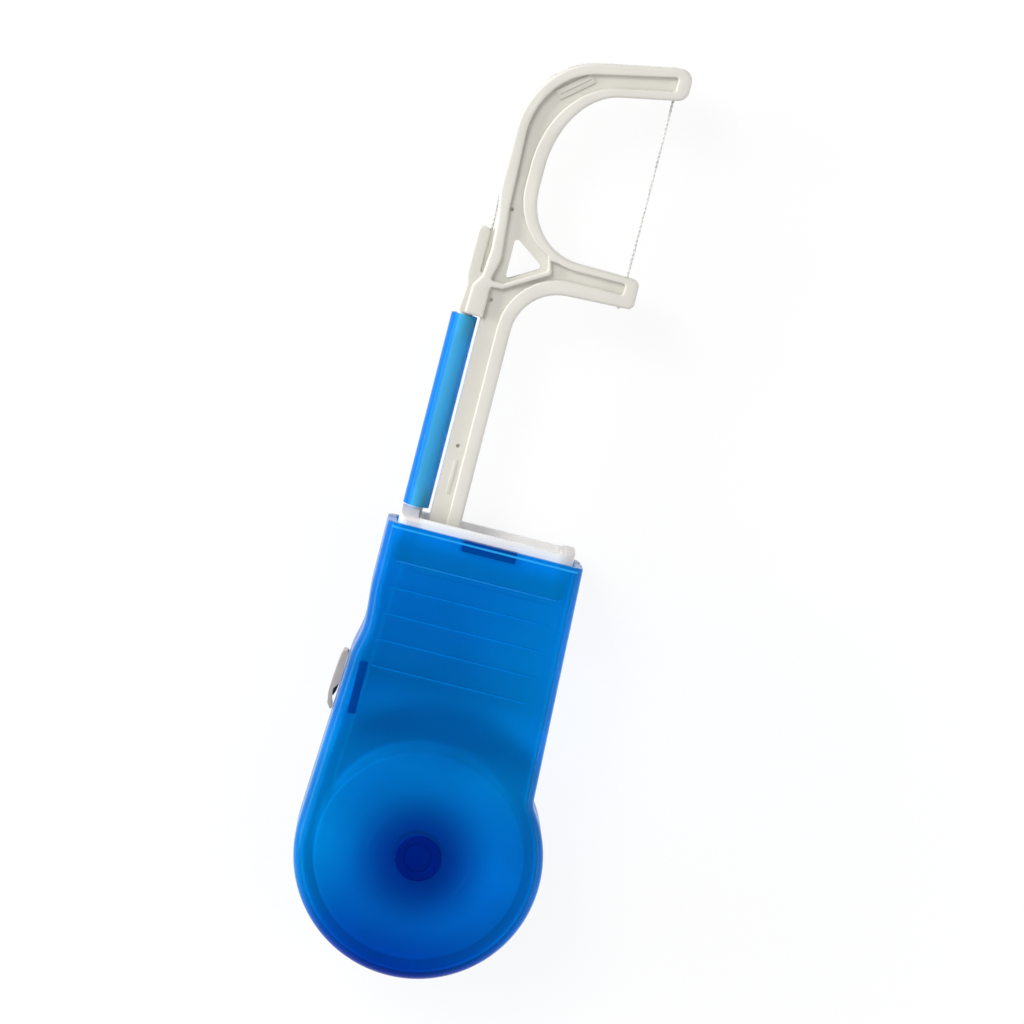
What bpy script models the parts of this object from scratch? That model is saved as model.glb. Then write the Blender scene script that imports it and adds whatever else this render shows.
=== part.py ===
# Floss holder: a translucent case that carries a bobbin of floss, and a neck whose forked head
# stretches the floss across a gap.
# It lies on its back. +Z is the front of the case, +Y runs from the bobbin to the head.
# The origin is on the bobbin's axis, in the back face of the case.

import math

import bmesh
import bpy
from mathutils import Matrix, Vector

MM = 0.001

# Fits
CLEARANCE = 0.3 * MM
THREAD_CLEARANCE = 0.3 * MM

# Case
CASE_RADIUS = 18.45 * MM
CASE_TOP = 47.0 * MM
CASE_DEPTH = 15.5 * MM
CASE_WALL = 1.3 * MM
CASE_EDGE_RADIUS = 2.2 * MM
PARTING_HEIGHT = 8.6 * MM
CASE_LEFT_TOP = 16.6 * MM
CASE_RIGHT_TOP = 12.9 * MM
LEFT_LEAN = math.radians(3.0)
RIGHT_LEAN = math.radians(2.6)
SHOULDER_FILLET = 3.0 * MM
WAIST_LOW = 26.0 * MM
WAIST_MIDDLE = 31.8 * MM
WAIST_HIGH = 38.0 * MM
WAIST_DEPTH = 0.6 * MM

# Grip lines on the front
GRIP_COUNT = 5
GRIP_PITCH = 4.02 * MM
GRIP_WIDTH = 1.0 * MM
GRIP_HEIGHT = 0.2 * MM
GRIP_TOP_SETBACK = 5.5 * MM
GRIP_SIDE_SETBACK = 2.5 * MM

# Hub
HUB_RADIUS = 3.4 * MM
PIN_RADIUS = 1.65 * MM
PIN_END_GAP = 1.5 * MM

# Bobbin and its floss
BOBBIN_RADIUS = 15.5 * MM
BARREL_RADIUS = 5.5 * MM
FLANGE_THICKNESS = 1.1 * MM
FLANGE_DISH = 0.7 * MM
HUB_RING_WIDTH = 1.5 * MM
FLOSS_DIAMETER = 0.3 * MM
FLOSS_PACK_RADIUS = 14.0 * MM
TURN_COUNT = 11
POINTS_PER_TURN = 24

# Collar
COLLAR_PLUG = 5.0 * MM
COLLAR_RISE = 1.9 * MM
COLLAR_WALL = 1.2 * MM
COLLAR_CORNER = 1.4 * MM
COLLAR_LEFT_BLOCK = 3.1 * MM
COLLAR_RIGHT_BLOCK = 1.8 * MM
COLLAR_RECESS = 2.5 * MM
COLLAR_FLOOR = 1.2 * MM
TUBE_SEAT_RISE = 0.6 * MM
TUBE_SEAT_DEPTH = 5.0 * MM
LEDGE_THICKNESS = 1.1 * MM
LEDGE_RISE = 1.2 * MM

# Snap bead between the front shell and the collar
BEAD_LEFT = -5.2 * MM
BEAD_LENGTH = 8.1 * MM
BEAD_WIDTH = 1.0 * MM
BEAD_RISE = 0.5 * MM
BEAD_SETBACK = 1.0 * MM

# Floss tube
TUBE_RADIUS = 1.95 * MM
TUBE_WALL = 0.5 * MM
TUBE_LENGTH = 29.1 * MM
TUBE_X = -13.1 * MM
SPIGOT_LENGTH = 3.0 * MM
THREAD_X = -12.75 * MM

# Neck, with the rail that meets the tube and the finger of the cleat
HEAD_THICKNESS = 5.5 * MM
WEB_THICKNESS = 3.9 * MM
EDGE_CHAMFER = 0.3 * MM
NECK_LEFT = -10.7 * MM
NECK_RIGHT = -6.0 * MM
NECK_RIM = 2.1 * MM
NECK_FILLET = 7.0 * MM
TANG_LENGTH = 5.6 * MM
BARB_RISE = 0.5 * MM
BARB_WIDTH = 1.2 * MM
RAIL_LEFT = -14.3 * MM
RAIL_HEIGHT = 5.4 * MM
RAIL_CORNER = 0.4 * MM
RAIL_STEP = 0.35 * MM
RAIL_STEP_DROP = 1.2 * MM
FINGER_LEFT = -14.3 * MM
FINGER_WIDTH = 1.5 * MM
FINGER_HEIGHT = 7.6 * MM
FINGER_CORNER = 0.5 * MM
CLEAT_SLOT = 0.9 * MM
CLEAT_FLOOR_RISE = 1.0 * MM
CLEAT_CORNER = 0.2 * MM

# Fork
HEAD_BACK = -7.1 * MM
HEAD_BACK_WIDTH = 5.5 * MM
FORK_RISE = 5.6 * MM
FORK_GAP = 26.8 * MM
ARM_END = 10.6 * MM
ARM_WIDTH = 4.5 * MM
ARM_SLOPE = 0.195
ARM_DROOP = 0.2 * MM
ARM_ROOT_DROP = 0.7 * MM
ARM_CORNER = 0.9 * MM
TIP_CORNER = 1.8 * MM
UPPER_BEND_RADIUS = 9.5 * MM
UPPER_BEND_RISE = 12.3 * MM
UPPER_BEND_DROP = 1.6 * MM
LOWER_BEND_RADIUS = 8.6 * MM
LOWER_BEND_RISE = 9.2 * MM
OUTER_BEND_RADIUS = 11.6 * MM
OUTER_BEND_HEIGHT = 12.5 * MM
OUTER_BEND_DROP = 10.0 * MM
HIP_RISE = 7.0 * MM
HIP_BULGE = 0.15 * MM
HIP_RADIUS = 6.0 * MM
HIP_FOOT_RADIUS = 2.0 * MM

# Sunk channels and the triangle of the head
OUTER_RIM = 1.6 * MM
INNER_RIM = 2.1 * MM
ARM_RIM = 1.35 * MM
LOWER_ARM_RIM = 1.1 * MM
LOWER_ARM_FOOT_RIM = 1.8 * MM
TIP_RIM = 2.0 * MM
CHANNEL_CORNER = 0.4 * MM
CHANNEL_BEND = 3.0 * MM
CHANNEL_FILLET = 9.0 * MM
TRIANGLE_LEFT = -8.7 * MM
TRIANGLE_WIDTH = 5.1 * MM
TRIANGLE_HEIGHT = 6.6 * MM
TRIANGLE_POINT_RISE = 3.0 * MM
TRIANGLE_DROP = 4.9 * MM
TRIANGLE_CORNER = 0.45 * MM
STRUT_WIDTH = 0.9 * MM
STRUT_LEFT_DROP = 0.15 * MM
STRUT_BEND = 1.0 * MM
POINT_WEB = 0.15 * MM
POINT_RIB = 0.6 * MM
POINT_RIB_DROP = 0.2 * MM
THREAD_HOLE_RADIUS = FLOSS_DIAMETER / 2 + THREAD_CLEARANCE

# Cutter
CUTTER_THICKNESS = 0.35 * MM
CUTTER_WIDTH = 4.0 * MM
CUTTER_TOP = 25.7 * MM
CUTTER_LENGTH = 8.2 * MM
CUTTER_STANDOFF = 1.05 * MM
CUTTER_HEIGHT = 5.2 * MM
CUTTER_BEND = 0.2 * MM
CUTTER_CURL = 0.9 * MM
TOOTH_RISE = 2.4 * MM
TOOTH_LENGTH = 2.4 * MM
TOOTH_WIDTH = 1.8 * MM
BOSS_DEPTH = 1.5 * MM
BOSS_MARGIN = 0.6 * MM

# Worked out from the sizes above
MIDDLE = CASE_DEPTH / 2
HEAD_FRONT = MIDDLE + HEAD_THICKNESS / 2
HEAD_REAR = MIDDLE - HEAD_THICKNESS / 2
COLLAR_BOTTOM = CASE_TOP - COLLAR_PLUG
COLLAR_TOP = CASE_TOP + COLLAR_RISE
COLLAR_FLOOR_TOP = COLLAR_TOP - COLLAR_RECESS
TUBE_SEAT = COLLAR_TOP + TUBE_SEAT_RISE
TUBE_BOTTOM = TUBE_SEAT + CLEARANCE
TUBE_TOP = TUBE_BOTTOM + TUBE_LENGTH
RAIL_BOTTOM = TUBE_TOP + CLEARANCE
FINGER_BOTTOM = RAIL_BOTTOM + RAIL_HEIGHT
FORK_FLOOR = FINGER_BOTTOM + FORK_RISE
ARM_UNDERSIDE = FORK_FLOOR - ARM_WIDTH
FORK_TOP = FORK_FLOOR + FORK_GAP
HEAD_OUTER = HEAD_BACK - HEAD_BACK_WIDTH
TANG_FOOT = COLLAR_FLOOR_TOP - TANG_LENGTH
FINGER_TOP = FINGER_BOTTOM + FINGER_HEIGHT
SLOT_LEFT = FINGER_LEFT + FINGER_WIDTH
SLOT_RIGHT = SLOT_LEFT + CLEAT_SLOT
TRIANGLE_BOTTOM = FORK_FLOOR - TRIANGLE_DROP
TRIANGLE_RIGHT = TRIANGLE_LEFT + TRIANGLE_WIDTH
TRIANGLE_POINT = TRIANGLE_BOTTOM + TRIANGLE_POINT_RISE
CUTTER_LOW = CUTTER_HEIGHT - CUTTER_WIDTH / 2
CUTTER_HIGH = CUTTER_HEIGHT + CUTTER_WIDTH / 2
BOBBIN_BOTTOM = CASE_WALL + CLEARANCE
BOBBIN_TOP = CASE_DEPTH - CASE_WALL - CLEARANCE

COLLECTION = "floss_holder"


def clear_scene():
    for item in list(bpy.data.objects):
        bpy.data.objects.remove(item, do_unlink=True)


def make_collection():
    collection = bpy.data.collections.new(COLLECTION)
    bpy.context.scene.collection.children.link(collection)
    return collection


def make_material(name, color, roughness, metallic=0.0, alpha=1.0):
    material = bpy.data.materials.new(name)
    material.use_nodes = True
    shader = material.node_tree.nodes["Principled BSDF"]
    shader.inputs["Base Color"].default_value = (*color, 1.0)
    shader.inputs["Roughness"].default_value = roughness
    shader.inputs["Metallic"].default_value = metallic
    shader.inputs["Alpha"].default_value = alpha
    return material


# Shapes

def add_object(name, data):
    item = bpy.data.objects.new(name, data)
    bpy.data.collections[COLLECTION].objects.link(item)
    return item


def bake(item):
    """Replace an object's data with its evaluated mesh in world space, welded and facing out."""
    bpy.context.view_layer.update()
    graph = bpy.context.evaluated_depsgraph_get()
    mesh = bpy.data.meshes.new_from_object(item.evaluated_get(graph))
    mesh.transform(item.matrix_world)
    shape = bmesh.new()
    shape.from_mesh(mesh)
    bmesh.ops.remove_doubles(shape, verts=shape.verts, dist=1e-6)
    bmesh.ops.recalc_face_normals(shape, faces=shape.faces)
    shape.to_mesh(mesh)
    shape.free()
    name = item.name
    bpy.data.objects.remove(item, do_unlink=True)
    mesh.name = name
    return add_object(name, mesh)


def slab(name, outline, low, high, along="Z"):
    """A flat outline made solid from low to high. Along Y the outline holds (x, z) pairs."""
    curve = bpy.data.curves.new(name, "CURVE")
    curve.dimensions = "2D"
    curve.fill_mode = "BOTH"
    curve.extrude = (high - low) / 2
    spline = curve.splines.new("POLY")
    spline.points.add(len(outline) - 1)
    side = -1 if along == "Y" else 1
    for point, (x, y) in zip(spline.points, outline):
        point.co = (x, side * y, 0, 1)
    spline.use_cyclic_u = True
    item = add_object(name, curve)
    if along == "Y":
        item.rotation_euler.x = -math.pi / 2
        item.location.y = (low + high) / 2
    else:
        item.location.z = (low + high) / 2
    return bake(item)


def box(name, low, high):
    shape = bmesh.new()
    size = Vector(high) - Vector(low)
    middle = (Vector(high) + Vector(low)) / 2
    place = Matrix.Translation(middle) @ Matrix.Diagonal((*size, 1))
    bmesh.ops.create_cube(shape, size=1.0, matrix=place)
    mesh = bpy.data.meshes.new(name)
    shape.to_mesh(mesh)
    shape.free()
    return add_object(name, mesh)


def rod(name, radius, low, high, across, along="Z", sides=32, end_radius=None):
    """A round bar from low to high along Z, with across as (x, y), or along Y, with across as (x, z)."""
    shape = bmesh.new()
    bmesh.ops.create_cone(
        shape,
        cap_ends=True,
        segments=sides,
        radius1=radius,
        radius2=radius if end_radius is None else end_radius,
        depth=high - low,
    )
    middle = (low + high) / 2
    if along == "Y":
        turn = Matrix.Rotation(-math.pi / 2, 4, "X")
        place = Matrix.Translation((across[0], middle, across[1])) @ turn
    else:
        place = Matrix.Translation((across[0], across[1], middle))
    shape.transform(place)
    mesh = bpy.data.meshes.new(name)
    shape.to_mesh(mesh)
    shape.free()
    return add_object(name, mesh)


def turned(name, profile, steps):
    """A closed ring profile of (radius, height) pairs, turned about the Z axis."""
    mesh = bpy.data.meshes.new(name)
    count = len(profile)
    points = [(radius, 0, height) for radius, height in profile]
    mesh.from_pydata(points, [(i, (i + 1) % count) for i in range(count)], [])
    item = add_object(name, mesh)
    screw = item.modifiers.new("Turn", "SCREW")
    screw.steps = steps
    screw.render_steps = steps
    screw.use_merge_vertices = True
    screw.merge_threshold = 0.00001
    return bake(item)


def tube_along(name, points, radius, resolution):
    """A round thread along a line of points, with flat closed ends."""
    curve = bpy.data.curves.new(name, "CURVE")
    curve.dimensions = "3D"
    curve.bevel_depth = radius
    curve.bevel_resolution = resolution
    curve.use_fill_caps = True
    spline = curve.splines.new("POLY")
    spline.points.add(len(points) - 1)
    for point, place in zip(spline.points, points):
        point.co = (*place, 1)
    return bake(add_object(name, curve))


def combine(item, other, operation):
    name = item.name
    modifier = item.modifiers.new("Combine", "BOOLEAN")
    modifier.object = other
    modifier.operation = operation
    modifier.solver = "EXACT"
    result = bake(item)
    result.name = name
    bpy.data.objects.remove(other, do_unlink=True)
    return result


def cut(item, *cutters):
    for cutter in cutters:
        item = combine(item, cutter, "DIFFERENCE")
    return item


def join(item, *others):
    for other in others:
        item = combine(item, other, "UNION")
    return item


def chamfer(item, width, segments=1):
    bevel = item.modifiers.new("Edges", "BEVEL")
    bevel.width = width
    bevel.segments = segments
    bevel.limit_method = "ANGLE"
    bevel.angle_limit = math.radians(50)
    return bake(item)


def flatten_caps(item):
    """Merge the triangles of the flat faces, so that edges can be rounded cleanly."""
    shape = bmesh.new()
    shape.from_mesh(item.data)
    bmesh.ops.dissolve_limit(
        shape, angle_limit=math.radians(0.5), verts=shape.verts, edges=shape.edges, delimit=set()
    )
    shape.to_mesh(item.data)
    shape.free()
    return item


# Outlines

def arc(center, radius_x, radius_y, start, end, steps):
    """Points along an ellipse from one angle to another, in degrees."""
    points = []
    for i in range(steps + 1):
        angle = math.radians(start + (end - start) * i / steps)
        points.append((center[0] + radius_x * math.cos(angle), center[1] + radius_y * math.sin(angle)))
    return points


def rounded(corners, steps=4):
    """A closed outline from (x, y, radius) corners, where a corner with a radius becomes an arc."""
    points = []
    count = len(corners)
    for i, (x, y, radius) in enumerate(corners):
        here = Vector((x, y))
        if radius <= 0:
            points.append((x, y))
            continue
        before = (Vector(corners[i - 1][:2]) - here).normalized()
        after = (Vector(corners[(i + 1) % count][:2]) - here).normalized()
        half = before.angle(after) / 2
        center = here + (before + after).normalized() * (radius / math.sin(half))
        first = here + before * (radius / math.tan(half)) - center
        last = here + after * (radius / math.tan(half)) - center
        turn = first.angle_signed(last)
        for step in range(steps + 1):
            swing = -turn * step / steps
            spoke = Matrix.Rotation(swing, 2) @ first
            points.append(tuple(center + spoke))
    return points


def rectangle(left, bottom, right, top, radius=0.0, steps=4):
    corners = [(left, bottom, radius), (right, bottom, radius), (right, top, radius), (left, top, radius)]
    return rounded(corners, steps)


def ease(start, end, steps):
    """Points between two places whose x changes with a smooth step."""
    points = []
    for i in range(1, steps):
        share = i / steps
        blend = share * share * (3 - 2 * share)
        points.append((start[0] + (end[0] - start[0]) * blend, start[1] + (end[1] - start[1]) * share))
    return points


def case_left_side(y):
    """The x of the case's straight left side, which leaves the round end as a tangent."""
    return -CASE_RADIUS / math.cos(LEFT_LEAN) + y * math.tan(LEFT_LEAN)


def case_right_side(y):
    return CASE_RIGHT_TOP + (CASE_TOP - y) * math.tan(RIGHT_LEAN)


def case_outline():
    """The case seen from the front, from the top left corner down and round to the top right corner."""
    top_left = (-CASE_LEFT_TOP, CASE_TOP)
    flare = (-CASE_LEFT_TOP, WAIST_HIGH)
    waist = (case_left_side(WAIST_MIDDLE) + WAIST_DEPTH, WAIST_MIDDLE)
    hip = (case_left_side(WAIST_LOW), WAIST_LOW)
    normal = Vector((math.cos(RIGHT_LEAN), math.sin(RIGHT_LEAN)))
    upward = Vector((-math.sin(RIGHT_LEAN), math.cos(RIGHT_LEAN)))
    offset = normal.dot(Vector((CASE_RIGHT_TOP, CASE_TOP)))
    reach = CASE_RADIUS + SHOULDER_FILLET
    climb = math.sqrt(reach**2 - (offset + SHOULDER_FILLET) ** 2)
    fillet = normal * (offset + SHOULDER_FILLET) + upward * climb
    meet = math.degrees(math.atan2(fillet.y, fillet.x))
    points = [top_left, flare]
    points += ease(flare, waist, 6)
    points += [waist]
    points += ease(waist, hip, 6)
    points += [hip]
    points += arc((0, 0), CASE_RADIUS, CASE_RADIUS, 180 - math.degrees(LEFT_LEAN), 360 + meet, 44)
    lean = math.degrees(RIGHT_LEAN)
    shoulder = arc(fillet, SHOULDER_FILLET, SHOULDER_FILLET, 180 + meet, 180 + lean, 5)
    points += shoulder[1:]
    points += [(CASE_RIGHT_TOP, CASE_TOP)]
    return points


# Sub-parts

def half_shell(name, low, high, front):
    """Half of the case: an open sheet over its outline, rounded at the outer edge, made thick."""
    item = flatten_caps(slab(name, case_outline(), low, high))
    shape = bmesh.new()
    shape.from_mesh(item.data)
    outer = high if front else low
    inner = low if front else high
    near = 0.01 * MM
    open_faces = [
        face
        for face in shape.faces
        if all(abs(v.co.z - inner) < near for v in face.verts)
        or all(abs(v.co.y - CASE_TOP) < near for v in face.verts)
    ]
    bmesh.ops.delete(shape, geom=open_faces, context="FACES")
    rim = [
        edge
        for edge in shape.edges
        if all(abs(v.co.z - outer) < near for v in edge.verts) and not edge.is_boundary
    ]
    bmesh.ops.bevel(
        shape,
        geom=rim,
        offset=CASE_EDGE_RADIUS,
        offset_type="OFFSET",
        segments=4,
        profile=0.5,
        affect="EDGES",
    )
    shape.to_mesh(item.data)
    shape.free()
    thick = item.modifiers.new("Wall", "SOLIDIFY")
    thick.thickness = CASE_WALL
    thick.offset = -1
    thick.use_even_offset = True
    return bake(item)


def make_back_shell():
    shell = half_shell("back_shell", 0, PARTING_HEIGHT, front=False)
    root = CASE_WALL / 2
    post = rod("post", HUB_RADIUS, root, PARTING_HEIGHT, (0, 0))
    pin_top = CASE_DEPTH - CASE_WALL - PIN_END_GAP
    pin = rod("pin", PIN_RADIUS, MIDDLE / 2, pin_top, (0, 0), sides=24)
    ledge_top = COLLAR_BOTTOM - CLEARANCE
    ledge = box(
        "ledge",
        (-CASE_LEFT_TOP + 2 * CASE_WALL, ledge_top - LEDGE_THICKNESS, root),
        (CASE_RIGHT_TOP - 2 * CASE_WALL, ledge_top, CASE_WALL + LEDGE_RISE),
    )
    slot_top = CUTTER_TOP + CUTTER_THICKNESS / 2 + CLEARANCE
    slot_bottom = CUTTER_TOP - CUTTER_THICKNESS / 2 - CLEARANCE
    wall_inside = case_left_side(CUTTER_TOP) + CASE_WALL
    boss = box(
        "boss",
        (wall_inside - CASE_WALL / 2, CUTTER_TOP - CUTTER_LENGTH, root),
        (wall_inside + BOSS_DEPTH, slot_top + BOSS_MARGIN, CUTTER_HIGH + CLEARANCE + BOSS_MARGIN),
    )
    slot = box(
        "slot",
        (wall_inside - 2 * CASE_WALL, slot_bottom, CUTTER_LOW - CLEARANCE),
        (wall_inside + BOSS_DEPTH - BOSS_MARGIN, slot_top, CUTTER_HIGH + CLEARANCE),
    )
    shell = join(shell, post, pin, ledge, boss)
    return cut(shell, slot)


def make_front_shell():
    shell = half_shell("front_shell", PARTING_HEIGHT + CLEARANCE, CASE_DEPTH, front=True)
    root = CASE_DEPTH - CASE_WALL / 2
    boss_bottom = PARTING_HEIGHT + CLEARANCE
    boss = rod("boss", HUB_RADIUS, boss_bottom, root, (0, 0))
    socket_top = CASE_DEPTH - CASE_WALL - PIN_END_GAP + CLEARANCE
    socket = rod("socket", PIN_RADIUS + CLEARANCE, boss_bottom - MM, socket_top, (0, 0), sides=24)
    bead = box(
        "bead",
        (BEAD_LEFT, CASE_TOP - BEAD_SETBACK - BEAD_WIDTH / 2, CASE_DEPTH - CASE_WALL - BEAD_RISE),
        (BEAD_LEFT + BEAD_LENGTH, CASE_TOP - BEAD_SETBACK + BEAD_WIDTH / 2, root),
    )
    shell = join(shell, boss, bead)
    for i in range(GRIP_COUNT):
        y = CASE_TOP - GRIP_TOP_SETBACK - i * GRIP_PITCH
        line = rectangle(
            -CASE_LEFT_TOP + GRIP_SIDE_SETBACK,
            y - GRIP_WIDTH / 2,
            CASE_RIGHT_TOP - GRIP_SIDE_SETBACK,
            y + GRIP_WIDTH / 2,
            GRIP_WIDTH * 0.45,
            2,
        )
        shell = join(shell, slab("line", line, root, CASE_DEPTH + GRIP_HEIGHT))
    return cut(shell, socket)


def make_bobbin():
    bore = HUB_RADIUS + CLEARANCE
    top = BOBBIN_TOP
    bottom = BOBBIN_BOTTOM
    rounding = FLANGE_THICKNESS / 3
    ring = bore + HUB_RING_WIDTH
    upper = [
        (bore, top),
        (ring, top),
        (ring + FLANGE_DISH, top - FLANGE_DISH),
        (BOBBIN_RADIUS - 2 * FLANGE_DISH, top - FLANGE_DISH / 3),
        (BOBBIN_RADIUS - rounding, top),
        (BOBBIN_RADIUS, top - rounding),
        (BOBBIN_RADIUS, top - FLANGE_THICKNESS + rounding / 2),
        (BOBBIN_RADIUS - rounding / 2, top - FLANGE_THICKNESS),
        (BARREL_RADIUS + FLANGE_DISH, top - FLANGE_THICKNESS - FLANGE_DISH / 2),
        (BARREL_RADIUS, top - FLANGE_THICKNESS - FLANGE_DISH),
    ]
    lower = [(radius, top + bottom - height) for radius, height in reversed(upper)]
    return turned("bobbin", upper + lower, 48)


def floss_room():
    """The lowest and highest level between the flanges, clear of both."""
    inside = FLANGE_THICKNESS + FLANGE_DISH / 2 + CLEARANCE
    return BOBBIN_BOTTOM + inside, BOBBIN_TOP - inside


def make_floss_pack():
    low, high = floss_room()
    inner = BARREL_RADIUS + FLANGE_DISH + CLEARANCE
    crown = FLOSS_DIAMETER
    profile = [
        (inner, high),
        (FLOSS_PACK_RADIUS - crown, high),
        (FLOSS_PACK_RADIUS, high - crown),
        (FLOSS_PACK_RADIUS, low + crown),
        (FLOSS_PACK_RADIUS - crown, low),
        (inner, low),
    ]
    return turned("floss_pack", profile, 48)


def least_gap(points, diameter, skip):
    """The least distance between stretches of a thread that are more than skip points apart."""
    least = math.inf
    for i, here in enumerate(points):
        for other in points[i + skip :]:
            least = min(least, (here - other).length - diameter)
    return least


def make_floss_turns():
    low, high = floss_room()
    radius = FLOSS_PACK_RADIUS + CLEARANCE + FLOSS_DIAMETER / 2
    first = low + FLOSS_DIAMETER
    last = high - FLOSS_DIAMETER
    count = TURN_COUNT * POINTS_PER_TURN
    points = []
    for i in range(count + 1):
        angle = 2 * math.pi * i / POINTS_PER_TURN
        height = first + (last - first) * i / count
        points.append(Vector((radius * math.cos(angle), radius * math.sin(angle), height)))
    gap = least_gap(points, FLOSS_DIAMETER, POINTS_PER_TURN // 2)
    print(f"floss turns: least gap {gap / MM:.2f} mm")
    return tube_along("floss_turns", points, FLOSS_DIAMETER / 2, 1)


def collar_box(inset=0.0):
    """Left, right, rear and front of the collar, which fits inside the case's walls."""
    fit = CASE_WALL + CLEARANCE + inset
    return -CASE_LEFT_TOP + fit, CASE_RIGHT_TOP - fit, fit, CASE_DEPTH - fit


def make_collar():
    left, right, rear, front = collar_box()
    outline = rectangle(left, rear, right, front, COLLAR_CORNER)
    collar = slab("collar", outline, COLLAR_BOTTOM, COLLAR_TOP, "Y")
    seat = slab(
        "seat",
        rectangle(
            left,
            MIDDLE - TUBE_SEAT_DEPTH / 2,
            left + COLLAR_LEFT_BLOCK,
            MIDDLE + TUBE_SEAT_DEPTH / 2,
            COLLAR_CORNER * 0.8,
        ),
        COLLAR_BOTTOM,
        TUBE_SEAT,
        "Y",
    )
    spigot_radius = TUBE_RADIUS - TUBE_WALL - CLEARANCE
    spigot_foot = COLLAR_BOTTOM + COLLAR_WALL
    spigot = rod("spigot", spigot_radius, spigot_foot, TUBE_SEAT + SPIGOT_LENGTH, (TUBE_X, MIDDLE), "Y", 20)
    recess = slab(
        "recess",
        rectangle(
            left + COLLAR_LEFT_BLOCK,
            rear + COLLAR_WALL,
            right - COLLAR_RIGHT_BLOCK,
            front - COLLAR_WALL,
            COLLAR_CORNER / 2,
        ),
        COLLAR_FLOOR_TOP,
        COLLAR_TOP + MM,
        "Y",
    )
    hollow = slab(
        "hollow",
        rectangle(
            left + COLLAR_LEFT_BLOCK,
            rear + COLLAR_WALL,
            right - COLLAR_WALL,
            front - COLLAR_WALL,
            COLLAR_CORNER / 2,
        ),
        COLLAR_BOTTOM - MM,
        COLLAR_FLOOR_TOP - COLLAR_FLOOR,
        "Y",
    )
    neck_slot = box(
        "neck_slot",
        (NECK_LEFT - CLEARANCE, COLLAR_BOTTOM, HEAD_REAR - CLEARANCE),
        (NECK_RIGHT + CLEARANCE, COLLAR_TOP, HEAD_FRONT + CLEARANCE),
    )
    bead_middle = CASE_TOP - BEAD_SETBACK
    bead_half = BEAD_WIDTH / 2 + CLEARANCE
    groove = box(
        "groove",
        (BEAD_LEFT - CLEARANCE, bead_middle - bead_half, front - BEAD_RISE),
        (BEAD_LEFT + BEAD_LENGTH + CLEARANCE, bead_middle + bead_half, front + MM),
    )
    thread = rod(
        "thread",
        THREAD_HOLE_RADIUS,
        COLLAR_BOTTOM - MM,
        TUBE_SEAT + SPIGOT_LENGTH + MM,
        (THREAD_X, MIDDLE),
        "Y",
        16,
    )
    collar = join(collar, seat, spigot)
    return cut(collar, recess, hollow, neck_slot, groove, thread)


def make_floss_tube():
    tube = rod("floss_tube", TUBE_RADIUS, TUBE_BOTTOM, TUBE_TOP, (TUBE_X, MIDDLE), "Y", 32)
    inside = TUBE_RADIUS - TUBE_WALL
    bore = rod("bore", inside, TUBE_BOTTOM - MM, TUBE_TOP + MM, (TUBE_X, MIDDLE), "Y", 32)
    return cut(tube, bore)


def fork_back_arcs(inset, top_inset, foot_inset):
    """The inner edge of the head from the top arm round to the lower arm, moved outwards."""
    upper_center = (HEAD_BACK + UPPER_BEND_RADIUS, FORK_FLOOR + UPPER_BEND_RISE)
    lower_center = (HEAD_BACK + LOWER_BEND_RADIUS, FORK_FLOOR + LOWER_BEND_RISE)
    upper_height = FORK_TOP - UPPER_BEND_DROP - upper_center[1]
    upper = arc(upper_center, UPPER_BEND_RADIUS + inset, upper_height + top_inset, 98, 180, 12)
    foot_height = LOWER_BEND_RISE + foot_inset
    lower = arc(lower_center, LOWER_BEND_RADIUS + inset, foot_height, 180, 270, 10)
    return upper + lower


def inner_rim_edge(x):
    """How low the inner rim reaches at x in the lower bend, between its two channels."""
    share = (x - HEAD_BACK - LOWER_BEND_RADIUS) / (LOWER_BEND_RADIUS + INNER_RIM)
    height = LOWER_BEND_RISE + LOWER_ARM_RIM
    return FORK_FLOOR + LOWER_BEND_RISE - height * math.sqrt(1 - share**2)


def outer_back_arc(inset):
    """The outer edge of the head's bend, moved inwards by inset."""
    center = (HEAD_OUTER + OUTER_BEND_RADIUS, FORK_TOP - OUTER_BEND_DROP)
    return arc(center, OUTER_BEND_RADIUS - inset, OUTER_BEND_HEIGHT - inset, 180, 100.3, 12)


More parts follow.
